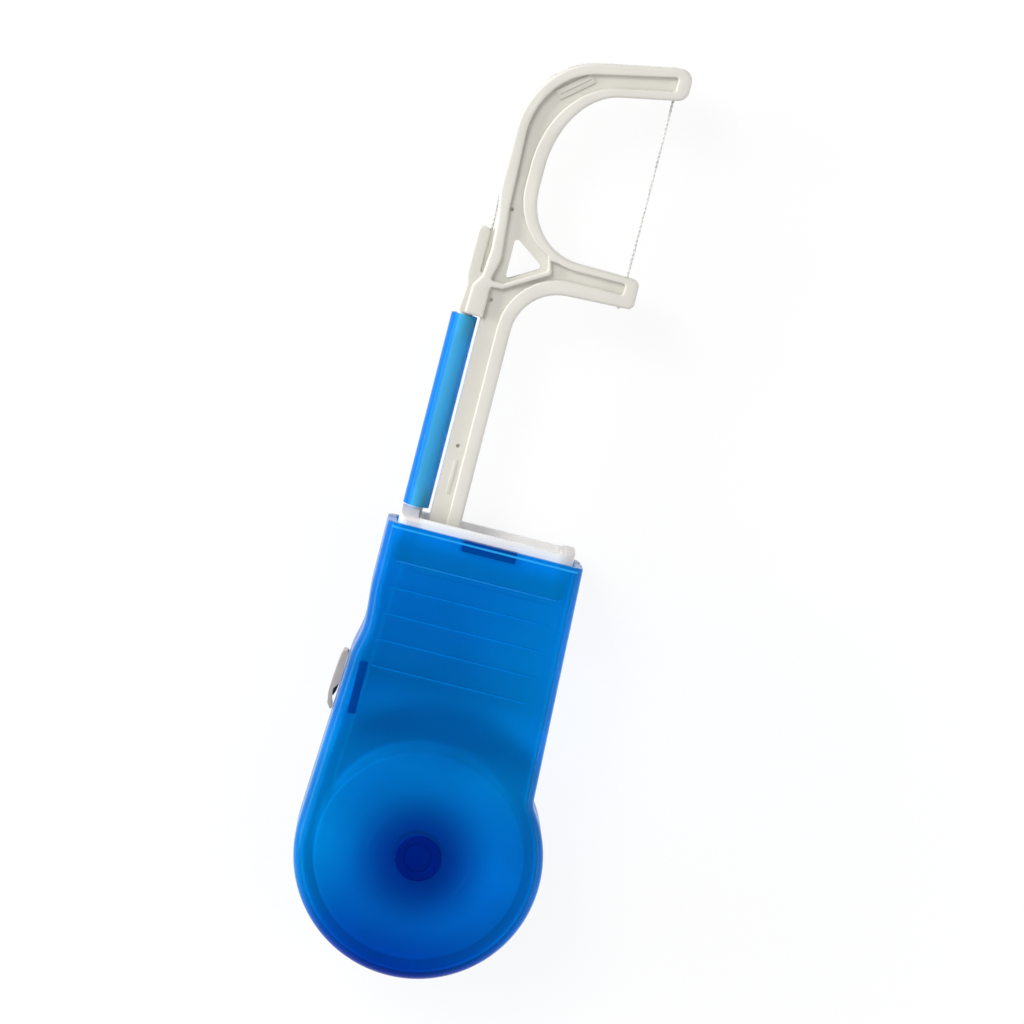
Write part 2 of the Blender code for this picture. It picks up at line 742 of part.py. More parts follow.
def head_outline():
    """The neck and head seen from the front, clockwise from the foot of the neck."""
    bend_top = outer_back_arc(0)[-1]
    tip_top = bend_top[1] + ARM_SLOPE * (ARM_END - bend_top[0])
    upper_inner = fork_back_arcs(0, 0, 0)[0]
    tip_under = upper_inner[1] + ARM_SLOPE * (ARM_END - upper_inner[0])
    cleat_floor = FINGER_BOTTOM + CLEAT_FLOOR_RISE
    corners = [
        (NECK_LEFT, TANG_FOOT, 0),
        (NECK_LEFT, RAIL_BOTTOM, 0),
        (RAIL_LEFT, RAIL_BOTTOM, RAIL_CORNER),
        (FINGER_LEFT + RAIL_STEP, FINGER_BOTTOM - RAIL_STEP_DROP, 0),
        (FINGER_LEFT, FINGER_BOTTOM, FINGER_CORNER),
        (FINGER_LEFT, FINGER_TOP, FINGER_CORNER),
        (SLOT_LEFT, FINGER_TOP, FINGER_CORNER),
        (SLOT_LEFT, cleat_floor, CLEAT_CORNER),
        (SLOT_RIGHT, cleat_floor, CLEAT_CORNER),
        (SLOT_RIGHT, FORK_FLOOR, HIP_FOOT_RADIUS),
        (HEAD_OUTER - HIP_BULGE, FORK_FLOOR + HIP_RISE, HIP_RADIUS),
    ]
    corners += [(x, y, 0) for x, y in outer_back_arc(0)]
    corners += [
        (ARM_END, tip_top, TIP_CORNER),
        (ARM_END, tip_under, TIP_CORNER),
    ]
    corners += [(x, y, 0) for x, y in fork_back_arcs(0, 0, 0)]
    corners += [
        (ARM_END, FORK_FLOOR - ARM_DROOP, ARM_CORNER),
        (ARM_END, ARM_UNDERSIDE, ARM_CORNER),
        (NECK_RIGHT, ARM_UNDERSIDE - ARM_ROOT_DROP, NECK_FILLET),
        (NECK_RIGHT, TANG_FOOT, 0),
    ]
    return rounded(corners, 6)


def channel_outline():
    """The sunk channel between the head's two rims, from the top tip down round the triangle."""
    outer = outer_back_arc(OUTER_RIM)
    inner = fork_back_arcs(INNER_RIM, ARM_RIM, LOWER_ARM_RIM)
    end = ARM_END - TIP_RIM
    outer_tip = outer[-1][1] + ARM_SLOPE * (end - outer[-1][0]) + OUTER_RIM - ARM_RIM
    inner_tip = inner[0][1] + ARM_SLOPE * (end - inner[0][0])
    rail = SLOT_RIGHT + OUTER_RIM
    foot = TRIANGLE_BOTTOM + TRIANGLE_CORNER
    rib = TRIANGLE_RIGHT + POINT_WEB
    rib_foot = TRIANGLE_POINT - POINT_RIB_DROP
    corners = [(rail, foot, CHANNEL_CORNER), (rail, FORK_FLOOR, CHANNEL_BEND)]
    corners += [(x, y, 0) for x, y in outer]
    corners += [(end, outer_tip, CHANNEL_CORNER), (end, inner_tip, CHANNEL_CORNER)]
    corners += [(x, y, 0) for x, y in inner if x < rib or y > FORK_FLOOR + LOWER_BEND_RISE]
    corners += [
        (rib, inner_rim_edge(rib), 0),
        (rib, rib_foot, CHANNEL_CORNER),
        (TRIANGLE_RIGHT - MM, rib_foot, 0),
        (TRIANGLE_LEFT + TRIANGLE_CORNER, foot, 0),
    ]
    return rounded(corners, 3)


def triangle_outline():
    return rounded(
        [
            (TRIANGLE_LEFT, TRIANGLE_BOTTOM, TRIANGLE_CORNER),
            (TRIANGLE_RIGHT, TRIANGLE_POINT, TRIANGLE_CORNER),
            (TRIANGLE_LEFT, TRIANGLE_BOTTOM + TRIANGLE_HEIGHT, TRIANGLE_CORNER),
        ],
        3,
    )


def lower_channel_outline():
    """The channel from the lower arm's tip round into the neck, whose web is open beside the tube."""
    bottom = COLLAR_TOP - 2 * COLLAR_RISE
    low = ARM_UNDERSIDE + LOWER_ARM_FOOT_RIM
    high = FORK_FLOOR - LOWER_ARM_RIM
    end = ARM_END - TIP_RIM
    right = NECK_RIGHT - NECK_RIM
    rail_right = NECK_LEFT + CLEAT_CORNER
    rib = TRIANGLE_RIGHT + POINT_WEB + POINT_RIB
    slope = TRIANGLE_POINT_RISE / TRIANGLE_WIDTH
    strut = TRIANGLE_BOTTOM - STRUT_WIDTH * math.hypot(1, slope)
    corners = [
        (NECK_LEFT - MM, bottom, 0),
        (right, bottom, 0),
        (right, low, CHANNEL_FILLET),
        (end, low, CHANNEL_CORNER),
        (end, high, CHANNEL_CORNER),
    ]
    inner = fork_back_arcs(INNER_RIM, ARM_RIM, LOWER_ARM_RIM)
    corners += [(x, y, 0) for x, y in reversed(inner) if x > rib and y < FORK_FLOOR]
    corners += [
        (rib, inner_rim_edge(rib), 0),
        (rib, strut + slope * (rib - TRIANGLE_LEFT), POINT_RIB),
        (TRIANGLE_LEFT, strut, STRUT_BEND),
        (rail_right, strut - STRUT_LEFT_DROP, CHANNEL_CORNER),
        (rail_right, RAIL_BOTTOM, 0),
        (NECK_LEFT - MM, RAIL_BOTTOM, 0),
    ]
    return rounded(corners, 4)


def make_head_frame():
    frame = flatten_caps(slab("head_frame", head_outline(), HEAD_REAR, HEAD_FRONT))
    frame = chamfer(frame, EDGE_CHAMFER)
    for outline in (channel_outline(), lower_channel_outline()):
        front = slab("front_channel", outline, MIDDLE + WEB_THICKNESS / 2, HEAD_FRONT + MM)
        rear = slab("rear_channel", outline, HEAD_REAR - MM, MIDDLE - WEB_THICKNESS / 2)
        frame = cut(frame, front, rear)
    frame = cut(frame, slab("triangle", triangle_outline(), HEAD_REAR - MM, HEAD_FRONT + MM))
    barb_top = COLLAR_FLOOR_TOP - COLLAR_FLOOR - CLEARANCE
    barb = box(
        "barb",
        (NECK_LEFT, barb_top - BARB_WIDTH, HEAD_REAR - BARB_RISE),
        (NECK_RIGHT, barb_top, HEAD_FRONT + BARB_RISE),
    )
    spigot_radius = TUBE_RADIUS - TUBE_WALL - CLEARANCE
    spigot = rod(
        "spigot", spigot_radius, TUBE_TOP - SPIGOT_LENGTH, RAIL_BOTTOM + 2 * MM, (TUBE_X, MIDDLE), "Y", 20
    )
    frame = join(frame, barb, spigot)
    rail_thread = rod(
        "rail_thread",
        THREAD_HOLE_RADIUS,
        TUBE_TOP - SPIGOT_LENGTH - MM,
        FINGER_BOTTOM + 2 * MM,
        (THREAD_X, MIDDLE),
        "Y",
        16,
    )
    way = floss_line()[GROOVE_START * STEPS_PER_STRETCH : GROOVE_END * STEPS_PER_STRETCH + 1]
    groove = tube_along("groove", way, THREAD_HOLE_RADIUS, 2)
    return cut(frame, rail_thread, groove)


def ribbon(path, thickness):
    """The outline of a strip that follows a path, half its thickness on each side."""
    left = []
    right = []
    count = len(path)
    for i, point in enumerate(path):
        here = Vector(point)
        before = Vector(path[max(i - 1, 0)])
        after = Vector(path[min(i + 1, count - 1)])
        if 0 < i < count - 1:
            first = (here - before).normalized()
            second = (after - here).normalized()
            direction = (first + second).normalized()
            stretch = 1 / max(direction.dot(first), 0.5)
        else:
            direction = (after - before).normalized()
            stretch = 1.0
        side = Vector((-direction.y, direction.x)) * (thickness / 2 * stretch)
        left.append(tuple(here + side))
        right.append(tuple(here - side))
    return left + right[::-1]


def make_cutter():
    wall_top = case_left_side(CUTTER_TOP)
    shank_end = wall_top + CASE_WALL + BOSS_DEPTH - BOSS_MARGIN - CLEARANCE
    foot = CUTTER_TOP - CUTTER_LENGTH
    near = CLEARANCE + CUTTER_THICKNESS / 2
    far = CUTTER_STANDOFF
    curl = foot + CUTTER_CURL
    path = [
        (shank_end, CUTTER_TOP),
        (wall_top - near + CUTTER_BEND / 2, CUTTER_TOP),
        (wall_top - near - CUTTER_BEND, CUTTER_TOP - CUTTER_BEND),
        (case_left_side(curl) - far, curl + CUTTER_CURL),
        (case_left_side(curl) - far, curl),
        (case_left_side(foot) - near - CUTTER_BEND, foot),
    ]
    cutter = slab("cutter", ribbon(path, CUTTER_THICKNESS), CUTTER_LOW, CUTTER_HIGH)
    tooth_foot = foot + TOOTH_RISE
    notch = slab(
        "notch",
        [
            (tooth_foot, CUTTER_HEIGHT - TOOTH_WIDTH / 2),
            (tooth_foot, CUTTER_HEIGHT + TOOTH_WIDTH / 2),
            (tooth_foot + TOOTH_LENGTH, CUTTER_HEIGHT),
        ],
        case_left_side(foot) - 4 * MM,
        case_left_side(foot) + MM,
    )
    turn_to_side = Matrix(((0, 0, 1, 0), (1, 0, 0, 0), (0, 1, 0, 0), (0, 0, 0, 1)))
    notch.data.transform(turn_to_side)
    return cut(cutter, notch)


# The floss from the bobbin to the cleat in millimetres, with heights from the middle plane:
# its way in the case from the bobbin's axis, in the tube from the collar's top, in the head
# from the fork's floor
CASE_ROUTE = [
    (-14.60, -4.10, 2.75),
    (-14.95, -2.40, 2.70),
    (-15.12, -0.60, 2.65),
    (-15.06, 1.40, 2.55),
    (-14.30, 15.00, 1.85),
    (-13.35, 33.00, 0.75),
]
TUBE_ROUTE = [
    (-12.81, -8.40, 0.15),
    (-12.75, -5.90, 0.00),
    (-12.75, 11.10, 0.00),
    (-12.75, 28.10, 0.00),
]
HEAD_ROUTE = [
    (-12.66, -6.70, 0.00),
    (-12.42, -3.70, 0.00),
    (-12.35, -0.20, 0.00),
    (-12.38, 3.20, 0.00),
    (-12.50, 6.60, 0.00),
    (-12.52, 11.80, 0.00),
    (-12.40, 16.80, 0.00),
    (-12.00, 20.20, 0.00),
    (-10.92, 23.15, 0.00),
    (-9.10, 25.75, 0.00),
    (-6.75, 27.65, 0.00),
    (-4.60, 28.62, 0.00),
    (-3.05, 29.02, 0.00),
    (2.00, 30.00, 0.00),
    (7.30, 31.05, 0.00),
    (8.20, 31.18, 0.00),
    (8.60, 30.90, 0.00),
    (8.70, 30.30, 0.00),
    (8.70, 27.30, 0.00),
    (8.70, 13.30, 0.00),
    (8.70, -0.70, 0.00),
    (8.70, -3.90, 0.00),
    (8.68, -4.55, -0.30),
    (8.65, -4.75, -0.95),
    (8.60, -4.75, -2.45),
    (8.50, -4.65, -2.97),
    (8.20, -4.40, -3.20),
    (-4.00, -4.50, -3.20),
    (-9.00, -5.45, -3.20),
    (-11.30, -4.60, -3.20),
    (-12.10, -3.65, -3.15),
    (-12.38, -3.00, -2.75),
    (-12.36, -2.80, -1.35),
]
GROOVE_START = 12
GROOVE_END = 35
STEPS_PER_STRETCH = 2


def smooth_line(points, steps):
    """A smooth curve through the points, as more points along it."""
    count = len(points)
    line = []
    for i in range(count - 1):
        before = points[max(i - 1, 0)]
        here = points[i]
        after = points[i + 1]
        beyond = points[min(i + 2, count - 1)]
        span = (after - here).length
        lead_in = (after - before).normalized() * span
        lead_out = (beyond - here).normalized() * span
        for step in range(steps):
            t = step / steps
            line.append(
                here * (2 * t**3 - 3 * t**2 + 1)
                + lead_in * (t**3 - 2 * t**2 + t)
                + after * (-2 * t**3 + 3 * t**2)
                + lead_out * (t**3 - t**2)
            )
    line.append(points[-1])
    return line


def floss_line():
    points = []
    for route, start in ((CASE_ROUTE, 0), (TUBE_ROUTE, COLLAR_TOP), (HEAD_ROUTE, FORK_FLOOR)):
        points += [Vector(point) * MM + Vector((0, start, MIDDLE)) for point in route]
    return smooth_line(points, STEPS_PER_STRETCH)


def make_floss_strand():
    return tube_along("floss_strand", floss_line(), FLOSS_DIAMETER / 2, 2)


def place_on_axis(item, x, y):
    """Put an object's origin on the axis it turns about, with its shape where it was."""
    item.data.transform(Matrix.Translation((-x, -y, 0)))
    item.location = (x, y, 0)


def shade(item):
    item.data.shade_smooth()
    item.data.set_sharp_from_angle(angle=math.radians(30))


def main():
    clear_scene()
    make_collection()
    blue = make_material("blue_plastic", (0.0, 0.18, 0.60), 0.2, alpha=0.6)
    tube_blue = make_material("tube_plastic", (0.02, 0.35, 0.80), 0.25, alpha=0.7)
    white = make_material("white_plastic", (0.80, 0.79, 0.75), 0.4)
    collar_white = make_material("collar_plastic", (0.82, 0.82, 0.84), 0.4)
    thread = make_material("floss_thread", (0.85, 0.85, 0.82), 0.6)
    steel = make_material("steel", (0.60, 0.58, 0.55), 0.35, metallic=1.0)
    makers = {
        make_back_shell: blue,
        make_front_shell: blue,
        make_bobbin: white,
        make_floss_pack: thread,
        make_floss_turns: thread,
        make_collar: collar_white,
        make_head_frame: white,
        make_floss_tube: tube_blue,
        make_cutter: steel,
        make_floss_strand: thread,
    }
    for maker, material in makers.items():
        item = maker()
        item.data.materials.clear()
        item.data.materials.append(material)
        shade(item)
    for name in ("bobbin", "floss_pack", "floss_turns"):
        place_on_axis(bpy.data.objects[name], 0, 0)


main()
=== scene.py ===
import math

import bpy
from mathutils import Matrix, Vector


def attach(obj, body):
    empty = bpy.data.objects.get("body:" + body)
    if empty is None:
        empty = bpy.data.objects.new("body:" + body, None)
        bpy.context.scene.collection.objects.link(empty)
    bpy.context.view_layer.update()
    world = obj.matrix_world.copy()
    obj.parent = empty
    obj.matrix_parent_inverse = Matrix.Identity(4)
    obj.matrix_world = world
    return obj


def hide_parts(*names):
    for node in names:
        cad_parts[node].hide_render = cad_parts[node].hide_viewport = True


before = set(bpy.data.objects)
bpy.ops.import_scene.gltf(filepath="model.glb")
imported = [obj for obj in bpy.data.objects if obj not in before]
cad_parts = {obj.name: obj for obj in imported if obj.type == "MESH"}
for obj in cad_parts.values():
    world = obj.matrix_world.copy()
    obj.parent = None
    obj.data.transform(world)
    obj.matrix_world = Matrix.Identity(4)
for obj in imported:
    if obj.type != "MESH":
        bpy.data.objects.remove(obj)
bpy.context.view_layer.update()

mm = 0.001
gap = 0.3  # running gap between neighbouring pieces, in millimetres
past = 1.0  # how far a cutting tool reaches past what it cuts
middle = 7.75  # height of the plane in the middle of the case's depth


# Working helpers. Sizes are given in millimetres and go into the mesh in metres.
def deselectAll():
    bpy.ops.object.select_all(action="DESELECT")


def workOn(piece):
    deselectAll()
    piece.select_set(True)
    bpy.context.view_layer.objects.active = piece


def editMode(selection=None):
    bpy.ops.object.mode_set(mode="EDIT")
    if selection:
        bpy.ops.mesh.select_all(action=selection)


def objectMode():
    bpy.ops.object.mode_set(mode="OBJECT")


def useModifier(piece, kind, **settings):
    workOn(piece)
    modifier = piece.modifiers.new(kind.title(), kind)
    for key, value in settings.items():
        setattr(modifier, key, value)
    bpy.ops.object.modifier_apply(modifier=modifier.name)


def cleanUp(piece, doubles=0.0005):
    # merges doubles and turns every face outwards
    workOn(piece)
    editMode("SELECT")
    bpy.ops.mesh.remove_doubles(threshold=doubles * mm)
    bpy.ops.mesh.normals_make_consistent(inside=False)
    objectMode()


def pick(piece, kind, test):
    # leaves the piece in edit mode with the faces or edges selected whose corners all pass the test
    workOn(piece)
    editMode("DESELECT")
    bpy.ops.mesh.select_mode(type=kind)
    objectMode()
    corners = piece.data.vertices
    for part in piece.data.polygons if kind == "FACE" else piece.data.edges:
        part.select = all(test(corners[i].co / mm) for i in part.vertices)
    editMode()


def placeOf(a, b, level, along):
    if along == "X":
        return Vector((level, a, b)) * mm
    if along == "Y":
        return Vector((a, level, b)) * mm
    return Vector((a, b, level)) * mm


def addLoop(name, places, fill="NOTHING"):
    # a circle whose points are moved to the given places
    deselectAll()
    bpy.ops.mesh.primitive_circle_add(vertices=len(places), radius=mm, fill_type=fill)
    loop = bpy.context.active_object
    loop.name = name
    for vertex, place in zip(loop.data.vertices, places):
        vertex.co = place
    return loop


def addPlate(name, outline, low, high, along="Z"):
    # a filled outline, extruded
    plate = addLoop(name, [placeOf(a, b, low, along) for a, b in outline], "NGON")
    editMode("SELECT")
    rise = placeOf(0, 0, high - low, along)
    bpy.ops.mesh.extrude_region_move(TRANSFORM_OT_translate={"value": rise})
    objectMode()
    cleanUp(plate)
    return plate


def layAlongY(piece, place):
    # turns a piece made upright and moves it to its place
    workOn(piece)
    piece.rotation_euler.x = -math.pi / 2
    piece.location = place
    bpy.ops.object.transform_apply(location=True, rotation=True, scale=True)


def addRod(name, radius, low, high, across, along="Z", sides=48):
    deselectAll()
    bpy.ops.mesh.primitive_cylinder_add(vertices=sides, radius=radius * mm, depth=(high - low) * mm)
    rod = bpy.context.active_object
    rod.name = name
    place = placeOf(*across, (low + high) / 2, along)
    if along == "Y":
        layAlongY(rod, place)
    else:
        rod.location = place
        bpy.ops.object.transform_apply(location=True, rotation=True, scale=True)
    return rod


def joined(first, *others):
    workOn(first)
    for other in others:
        other.select_set(True)
    bpy.ops.object.join()
    return first


def addFlared(name, outline, levels):
    # an outline stacked at several heights, each time grown by some width, bridged and closed
    rings = []
    for height, grow in levels:
        rings.append(addLoop(name, [placeOf(x, y, height, "Z") for x, y in grown(outline, grow)]))
    body = joined(*rings)
    editMode("SELECT")
    bpy.ops.mesh.bridge_edge_loops()
    bpy.ops.mesh.select_all(action="SELECT")
    bpy.ops.mesh.fill_holes(sides=0)
    objectMode()
    cleanUp(body)
    return body


def addTurned(name, profile, steps, across=None):
    # a closed profile of (radius, height) spun about Z, or about a line along Y through across = (x, z)
    ring = addLoop(name, [placeOf(radius, 0, height, "Z") for radius, height in profile])
    editMode("SELECT")
    bpy.ops.mesh.spin(steps=steps, angle=2 * math.pi, center=(0, 0, 0), axis=(0, 0, 1))
    objectMode()
    cleanUp(ring)
    if across is not None:
        layAlongY(ring, placeOf(*across, 0, "Y"))
    return ring


def addThread(name, lines, radius, roundness=1):
    # one mesh from round threads along lines of points
    deselectAll()
    bpy.ops.curve.primitive_bezier_curve_add()
    thread = bpy.context.active_object
    thread.name = name
    curve = thread.data
    curve.dimensions = "3D"
    curve.splines.clear()
    curve.bevel_depth = radius * mm
    curve.bevel_resolution = roundness
    curve.use_fill_caps = True
    for line in lines:
        spline = curve.splines.new("POLY")
        spline.points.add(len(line) - 1)
        for point, place in zip(spline.points, line):
            point.co = (*(place * mm), 1)
    bpy.ops.object.convert(target="MESH")
    cleanUp(thread)
    return thread


def combine(piece, other, operation):
    useModifier(piece, "BOOLEAN", object=other, operation=operation, solver="EXACT")
    bpy.data.objects.remove(other, do_unlink=True)
    return piece


def cutAway(piece, *tools):
    for tool in tools:
        combine(piece, tool, "DIFFERENCE")
    return piece


def growOn(piece, *others):
    for other in others:
        combine(piece, other, "UNION")
    return piece


def softenEdges(piece, width, segments=2, angle=40):
    useModifier(
        piece,
        "BEVEL",
        width=width * mm,
        segments=segments,
        limit_method="ANGLE",
        angle_limit=math.radians(angle),
        miter_outer="MITER_ARC",
    )
    return piece


def finishPiece(piece, body, slot, material, *replaced, angle=35):
    cleanUp(piece)
    piece.data.materials.clear()
    piece.data.materials.append(material)
    workOn(piece)
    bpy.ops.object.shade_smooth_by_angle(angle=math.radians(angle))
    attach(piece, body)
    if replaced:
        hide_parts(*replaced)


# Outlines, in millimetres
def arc(center, radiusX, radiusY, start, end, steps):
    points = []
    for i in range(steps + 1):
        angle = math.radians(start + (end - start) * i / steps)
        points.append((center[0] + radiusX * math.cos(angle), center[1] + radiusY * math.sin(angle)))
    return points


def rounded(corners, steps=5):
    # corners are (x, y, radius); one with a radius becomes an arc
    points = []
    for i, (x, y, radius) in enumerate(corners):
        if radius <= 0:
            points.append((x, y))
            continue
        here = Vector((x, y))
        before = (Vector(corners[i - 1][:2]) - here).normalized()
        after = (Vector(corners[(i + 1) % len(corners)][:2]) - here).normalized()
        half = before.angle(after) / 2
        center = here + (before + after).normalized() * (radius / math.sin(half))
        first = here + before * (radius / math.tan(half)) - center
        last = here + after * (radius / math.tan(half)) - center
        turn = first.angle_signed(last)
        for step in range(steps + 1):
            spoke = Matrix.Rotation(-turn * step / steps, 2) @ first
            points.append(tuple(center + spoke))
    return points


def sharp(points):
    return [(x, y, 0) for x, y in points]


def grown(outline, width):
    # the same outline moved outwards
    area = sum(a[0] * b[1] - b[0] * a[1] for a, b in zip(outline, outline[1:] + outline[:1]))
    turn = math.copysign(1, area)
    points = []
    for i, (x, y) in enumerate(outline):
        here = Vector((x, y))
        along = (here - Vector(outline[i - 1])).normalized()
        onward = (Vector(outline[(i + 1) % len(outline)]) - here).normalized()
        sideways = (along + onward).normalized()
        normal = Vector((sideways.y, -sideways.x)) * turn
        points.append(tuple(here + normal * (width / max(sideways.dot(along), 0.5))))
    return points


def rectangle(left, bottom, right, top, radius=0.0, steps=5):
    corners = [(left, bottom, radius), (right, bottom, radius), (right, top, radius), (left, top, radius)]
    return rounded(corners, steps)


def addBlock(name, left, bottom, right, top, low, high, along="Z", radius=0.0, steps=5):
    return addPlate(name, rectangle(left, bottom, right, top, radius, steps), low, high, along)


def ease(start, end, steps):
    points = []
    for i in range(1, steps):
        share = i / steps
        blend = share * share * (3 - 2 * share)
        points.append((start[0] + (end[0] - start[0]) * blend, start[1] + (end[1] - start[1]) * share))
    return points


# Materials
def setInputs(owner, node, inputs):
    # each input takes a constant or another node's output
    for name, value in inputs.items():
        if isinstance(value, bpy.types.NodeSocket):
            owner.node_tree.links.new(value, node.inputs[name])
        else:
            node.inputs[name].default_value = value


def addNode(owner, kind, spot, inputs=None, **settings):
    # owner is a material or the world, and spot is the node's place in the editor
    node = owner.node_tree.nodes.new("ShaderNode" + kind)
    node.location = spot
    for name, value in settings.items():
        setattr(node, name, value)
    setInputs(owner, node, inputs or {})
    return node


def startMaterial(name):
    material = bpy.data.materials.new(name)
    material.use_nodes = True
    place = addNode(material, "TexCoord", (-1100, 0))
    return material, material.node_tree.nodes["Principled BSDF"], place.outputs["Object"]


def addNoise(material, coordinates, scale, detail, height, stretch=None):
    # scale is in features per metre, and height is the node's row in the editor
    if stretch:
        inputs = {"Scale": stretch, "Vector": coordinates}
        coordinates = addNode(material, "Mapping", (-980, height), inputs).outputs["Vector"]
    inputs = {"Scale": scale, "Detail": detail, "Vector": coordinates}
    return addNode(material, "TexNoise", (-800, height), inputs).outputs["Fac"]


def addRange(material, value, low, high, start=0.3, end=0.7, spot=(-500, 0)):
    inputs = {"Value": value, "From Min": start, "From Max": end, "To Min": low, "To Max": high}
    return addNode(material, "MapRange", spot, inputs).outputs["Result"]


def addRamp(material, value, stops, spot):
    # a colour by a value, from stops of (position, colour)
    ramp = addNode(material, "ValToRGB", spot, {"Fac": value})
    elements = ramp.color_ramp.elements
    while len(elements) < len(stops):
        elements.new(0.5)
    for element, (position, color) in zip(elements, stops):
        element.position = position
        element.color = (*color, 1)
    return ramp.outputs["Color"]


def addBlend(material, value, first, second):
    return addRamp(material, value, ((0.3, first), (0.7, second)), (-500, 200))


def addBump(material, height, strength, depth):
    inputs = {"Strength": strength, "Distance": depth * mm, "Height": height}
    return addNode(material, "Bump", (-300, -300), inputs).outputs["Normal"]


def multiply(material, color, other):
    inputs = {"Factor": 1.0, "A": color, "B": other}
    blend = addNode(material, "Mix", (-200, 400), inputs, data_type="RGBA", blend_type="MULTIPLY")
    return blend.outputs["Result"]


plainLook = {"density": 500, "gloss": 0.1, "rough": (0.18, 0.26), "paintedShade": ()}
deepLook = {
    **plainLook,
    "shadow": (0.30, 0.50, 0.80),
    "transmission": 0.2,
    "sheen": (0.02, 0.2, 0.8),
}
thinLook = {
    **plainLook,
    "absorb": (0.2, 0.85, 0.97),
    "density": 200,
    "shadow": (0.65, 0.85, 0.95),
}
clearPlastic = {
    "caseBlue": {
        **plainLook,
        "tint": ((0.0, 0.30, 0.68), (0.0, 0.34, 0.74)),
        "absorb": (0.0, 0.80, 0.95),
        "shadow": (0.55, 0.80, 0.93),
        "transmission": 0.75,
        "sheen": (0.03, 0.45, 1.0),
        # painted shade along Y, darker at the bottom and above the bobbin
        "paintedShade": (
            (-18, 0.11, 0.45), (-9, 0.56, 0.66), (0, 0.76, 0.77),
            (13, 0.80, 0.70), (18, 0.58, 0.58), (21, 0.62, 0.62),
            (25, 0.51, 0.51), (38, 0.60, 0.61), (47, 0.66, 0.68),
        ),
    },
    "denseBlue": {
        **deepLook,
        "tint": ((0.0, 0.011, 0.185), (0.0, 0.016, 0.225)),
        "absorb": (0.0, 0.50, 0.90),
    },
    "ribBlue": {
        **deepLook,
        "tint": ((0.0, 0.048, 0.27), (0.0, 0.066, 0.32)),
        "absorb": (0.0, 0.60, 0.90),
    },
    # painted highlight, fainter, for the lower grip lines
    "faintHighlightBlue": {
        **thinLook,
        "tint": ((0.0, 0.24, 0.64), (0.0, 0.27, 0.70)),
        "transmission": 0.5,
        "sheen": (0.03, 0.45, 1.0),
    },
    # painted highlight for the first grip line and the mouth's edge
    "highlightBlue": {
        **thinLook,
        "tint": ((0.01, 0.30, 0.72), (0.02, 0.36, 0.80)),
        "transmission": 0.2,
        "gloss": 0.3,
        "sheen": (0.6, 0.9, 1.0),
    },
    "tubeBlue": {
        **plainLook,
        "tint": ((0.09, 0.51, 0.66), (0.12, 0.56, 0.72)),
        "absorb": (0.0, 0.62, 0.93),
        "density": 1300,
        "shadow": (0.55, 0.80, 0.93),
        "transmission": 0.62,
        "gloss": 0.2,
        "sheen": (0.1, 0.6, 1.0),
        "rough": (0.16, 0.26),
    },
}


def addPaintedShade(material, color, coordinates, paintedShade):
    # painted shade along the length, darker at the bottom and above the bobbin: places in millimetres along
    # Y with shares of green and blue
    low, high = paintedShade[0][0], paintedShade[-1][0]
    split = addNode(material, "SeparateXYZ", (-800, 550), {"Vector": coordinates})
    along = addRange(material, split.outputs["Y"], 0.0, 1.0, low * mm, high * mm, (-650, 550))
    stops = [((place - low) / (high - low), (1, green, blue)) for place, green, blue in paintedShade]
    return multiply(material, color, addRamp(material, along, stops, (-500, 550)))


def makeClearPlastic(name):
    # tinted clear plastic with a little cloud in it, which lets the lamps shine through
    look = clearPlastic[name]
    material, shader, coordinates = startMaterial(name)
    cloud = addNoise(material, coordinates, 90, 3, 250)
    flow = addNoise(material, coordinates, 220, 2, 0, stretch=(1, 0.2, 1))
    grain = addNoise(material, coordinates, 2600, 3, -300)
    color = addBlend(material, cloud, *look["tint"])
    if look["paintedShade"]:
        color = addPaintedShade(material, color, coordinates, look["paintedShade"])
    inputs = {
        "Base Color": color,
        "Roughness": addRange(material, flow, *look["rough"]),
        "Transmission Weight": look["transmission"],
        "IOR": 1.35,
        "Specular Tint": (*look["sheen"], 1),
        "Specular IOR Level": look["gloss"],
        "Normal": addBump(material, grain, 0.12, 0.03),
    }
    setInputs(material, shader, inputs)
    clear = addNode(material, "BsdfTransparent", (50, -250), {"Color": (*look["shadow"], 1)})
    rays = addNode(material, "LightPath", (50, 350))
    inputs = {"Fac": rays.outputs["Is Shadow Ray"], 1: shader.outputs["BSDF"], 2: clear.outputs["BSDF"]}
    mix = addNode(material, "MixShader", (350, 100), inputs)
    inputs = {"Color": (*look["absorb"], 1), "Density": look["density"]}
    depth = addNode(material, "VolumeAbsorption", (350, -150), inputs)
    output = material.node_tree.nodes["Material Output"]
    output.location = (600, 0)
    setInputs(material, output, {"Surface": mix.outputs["Shader"], "Volume": depth.outputs["Volume"]})
    return material


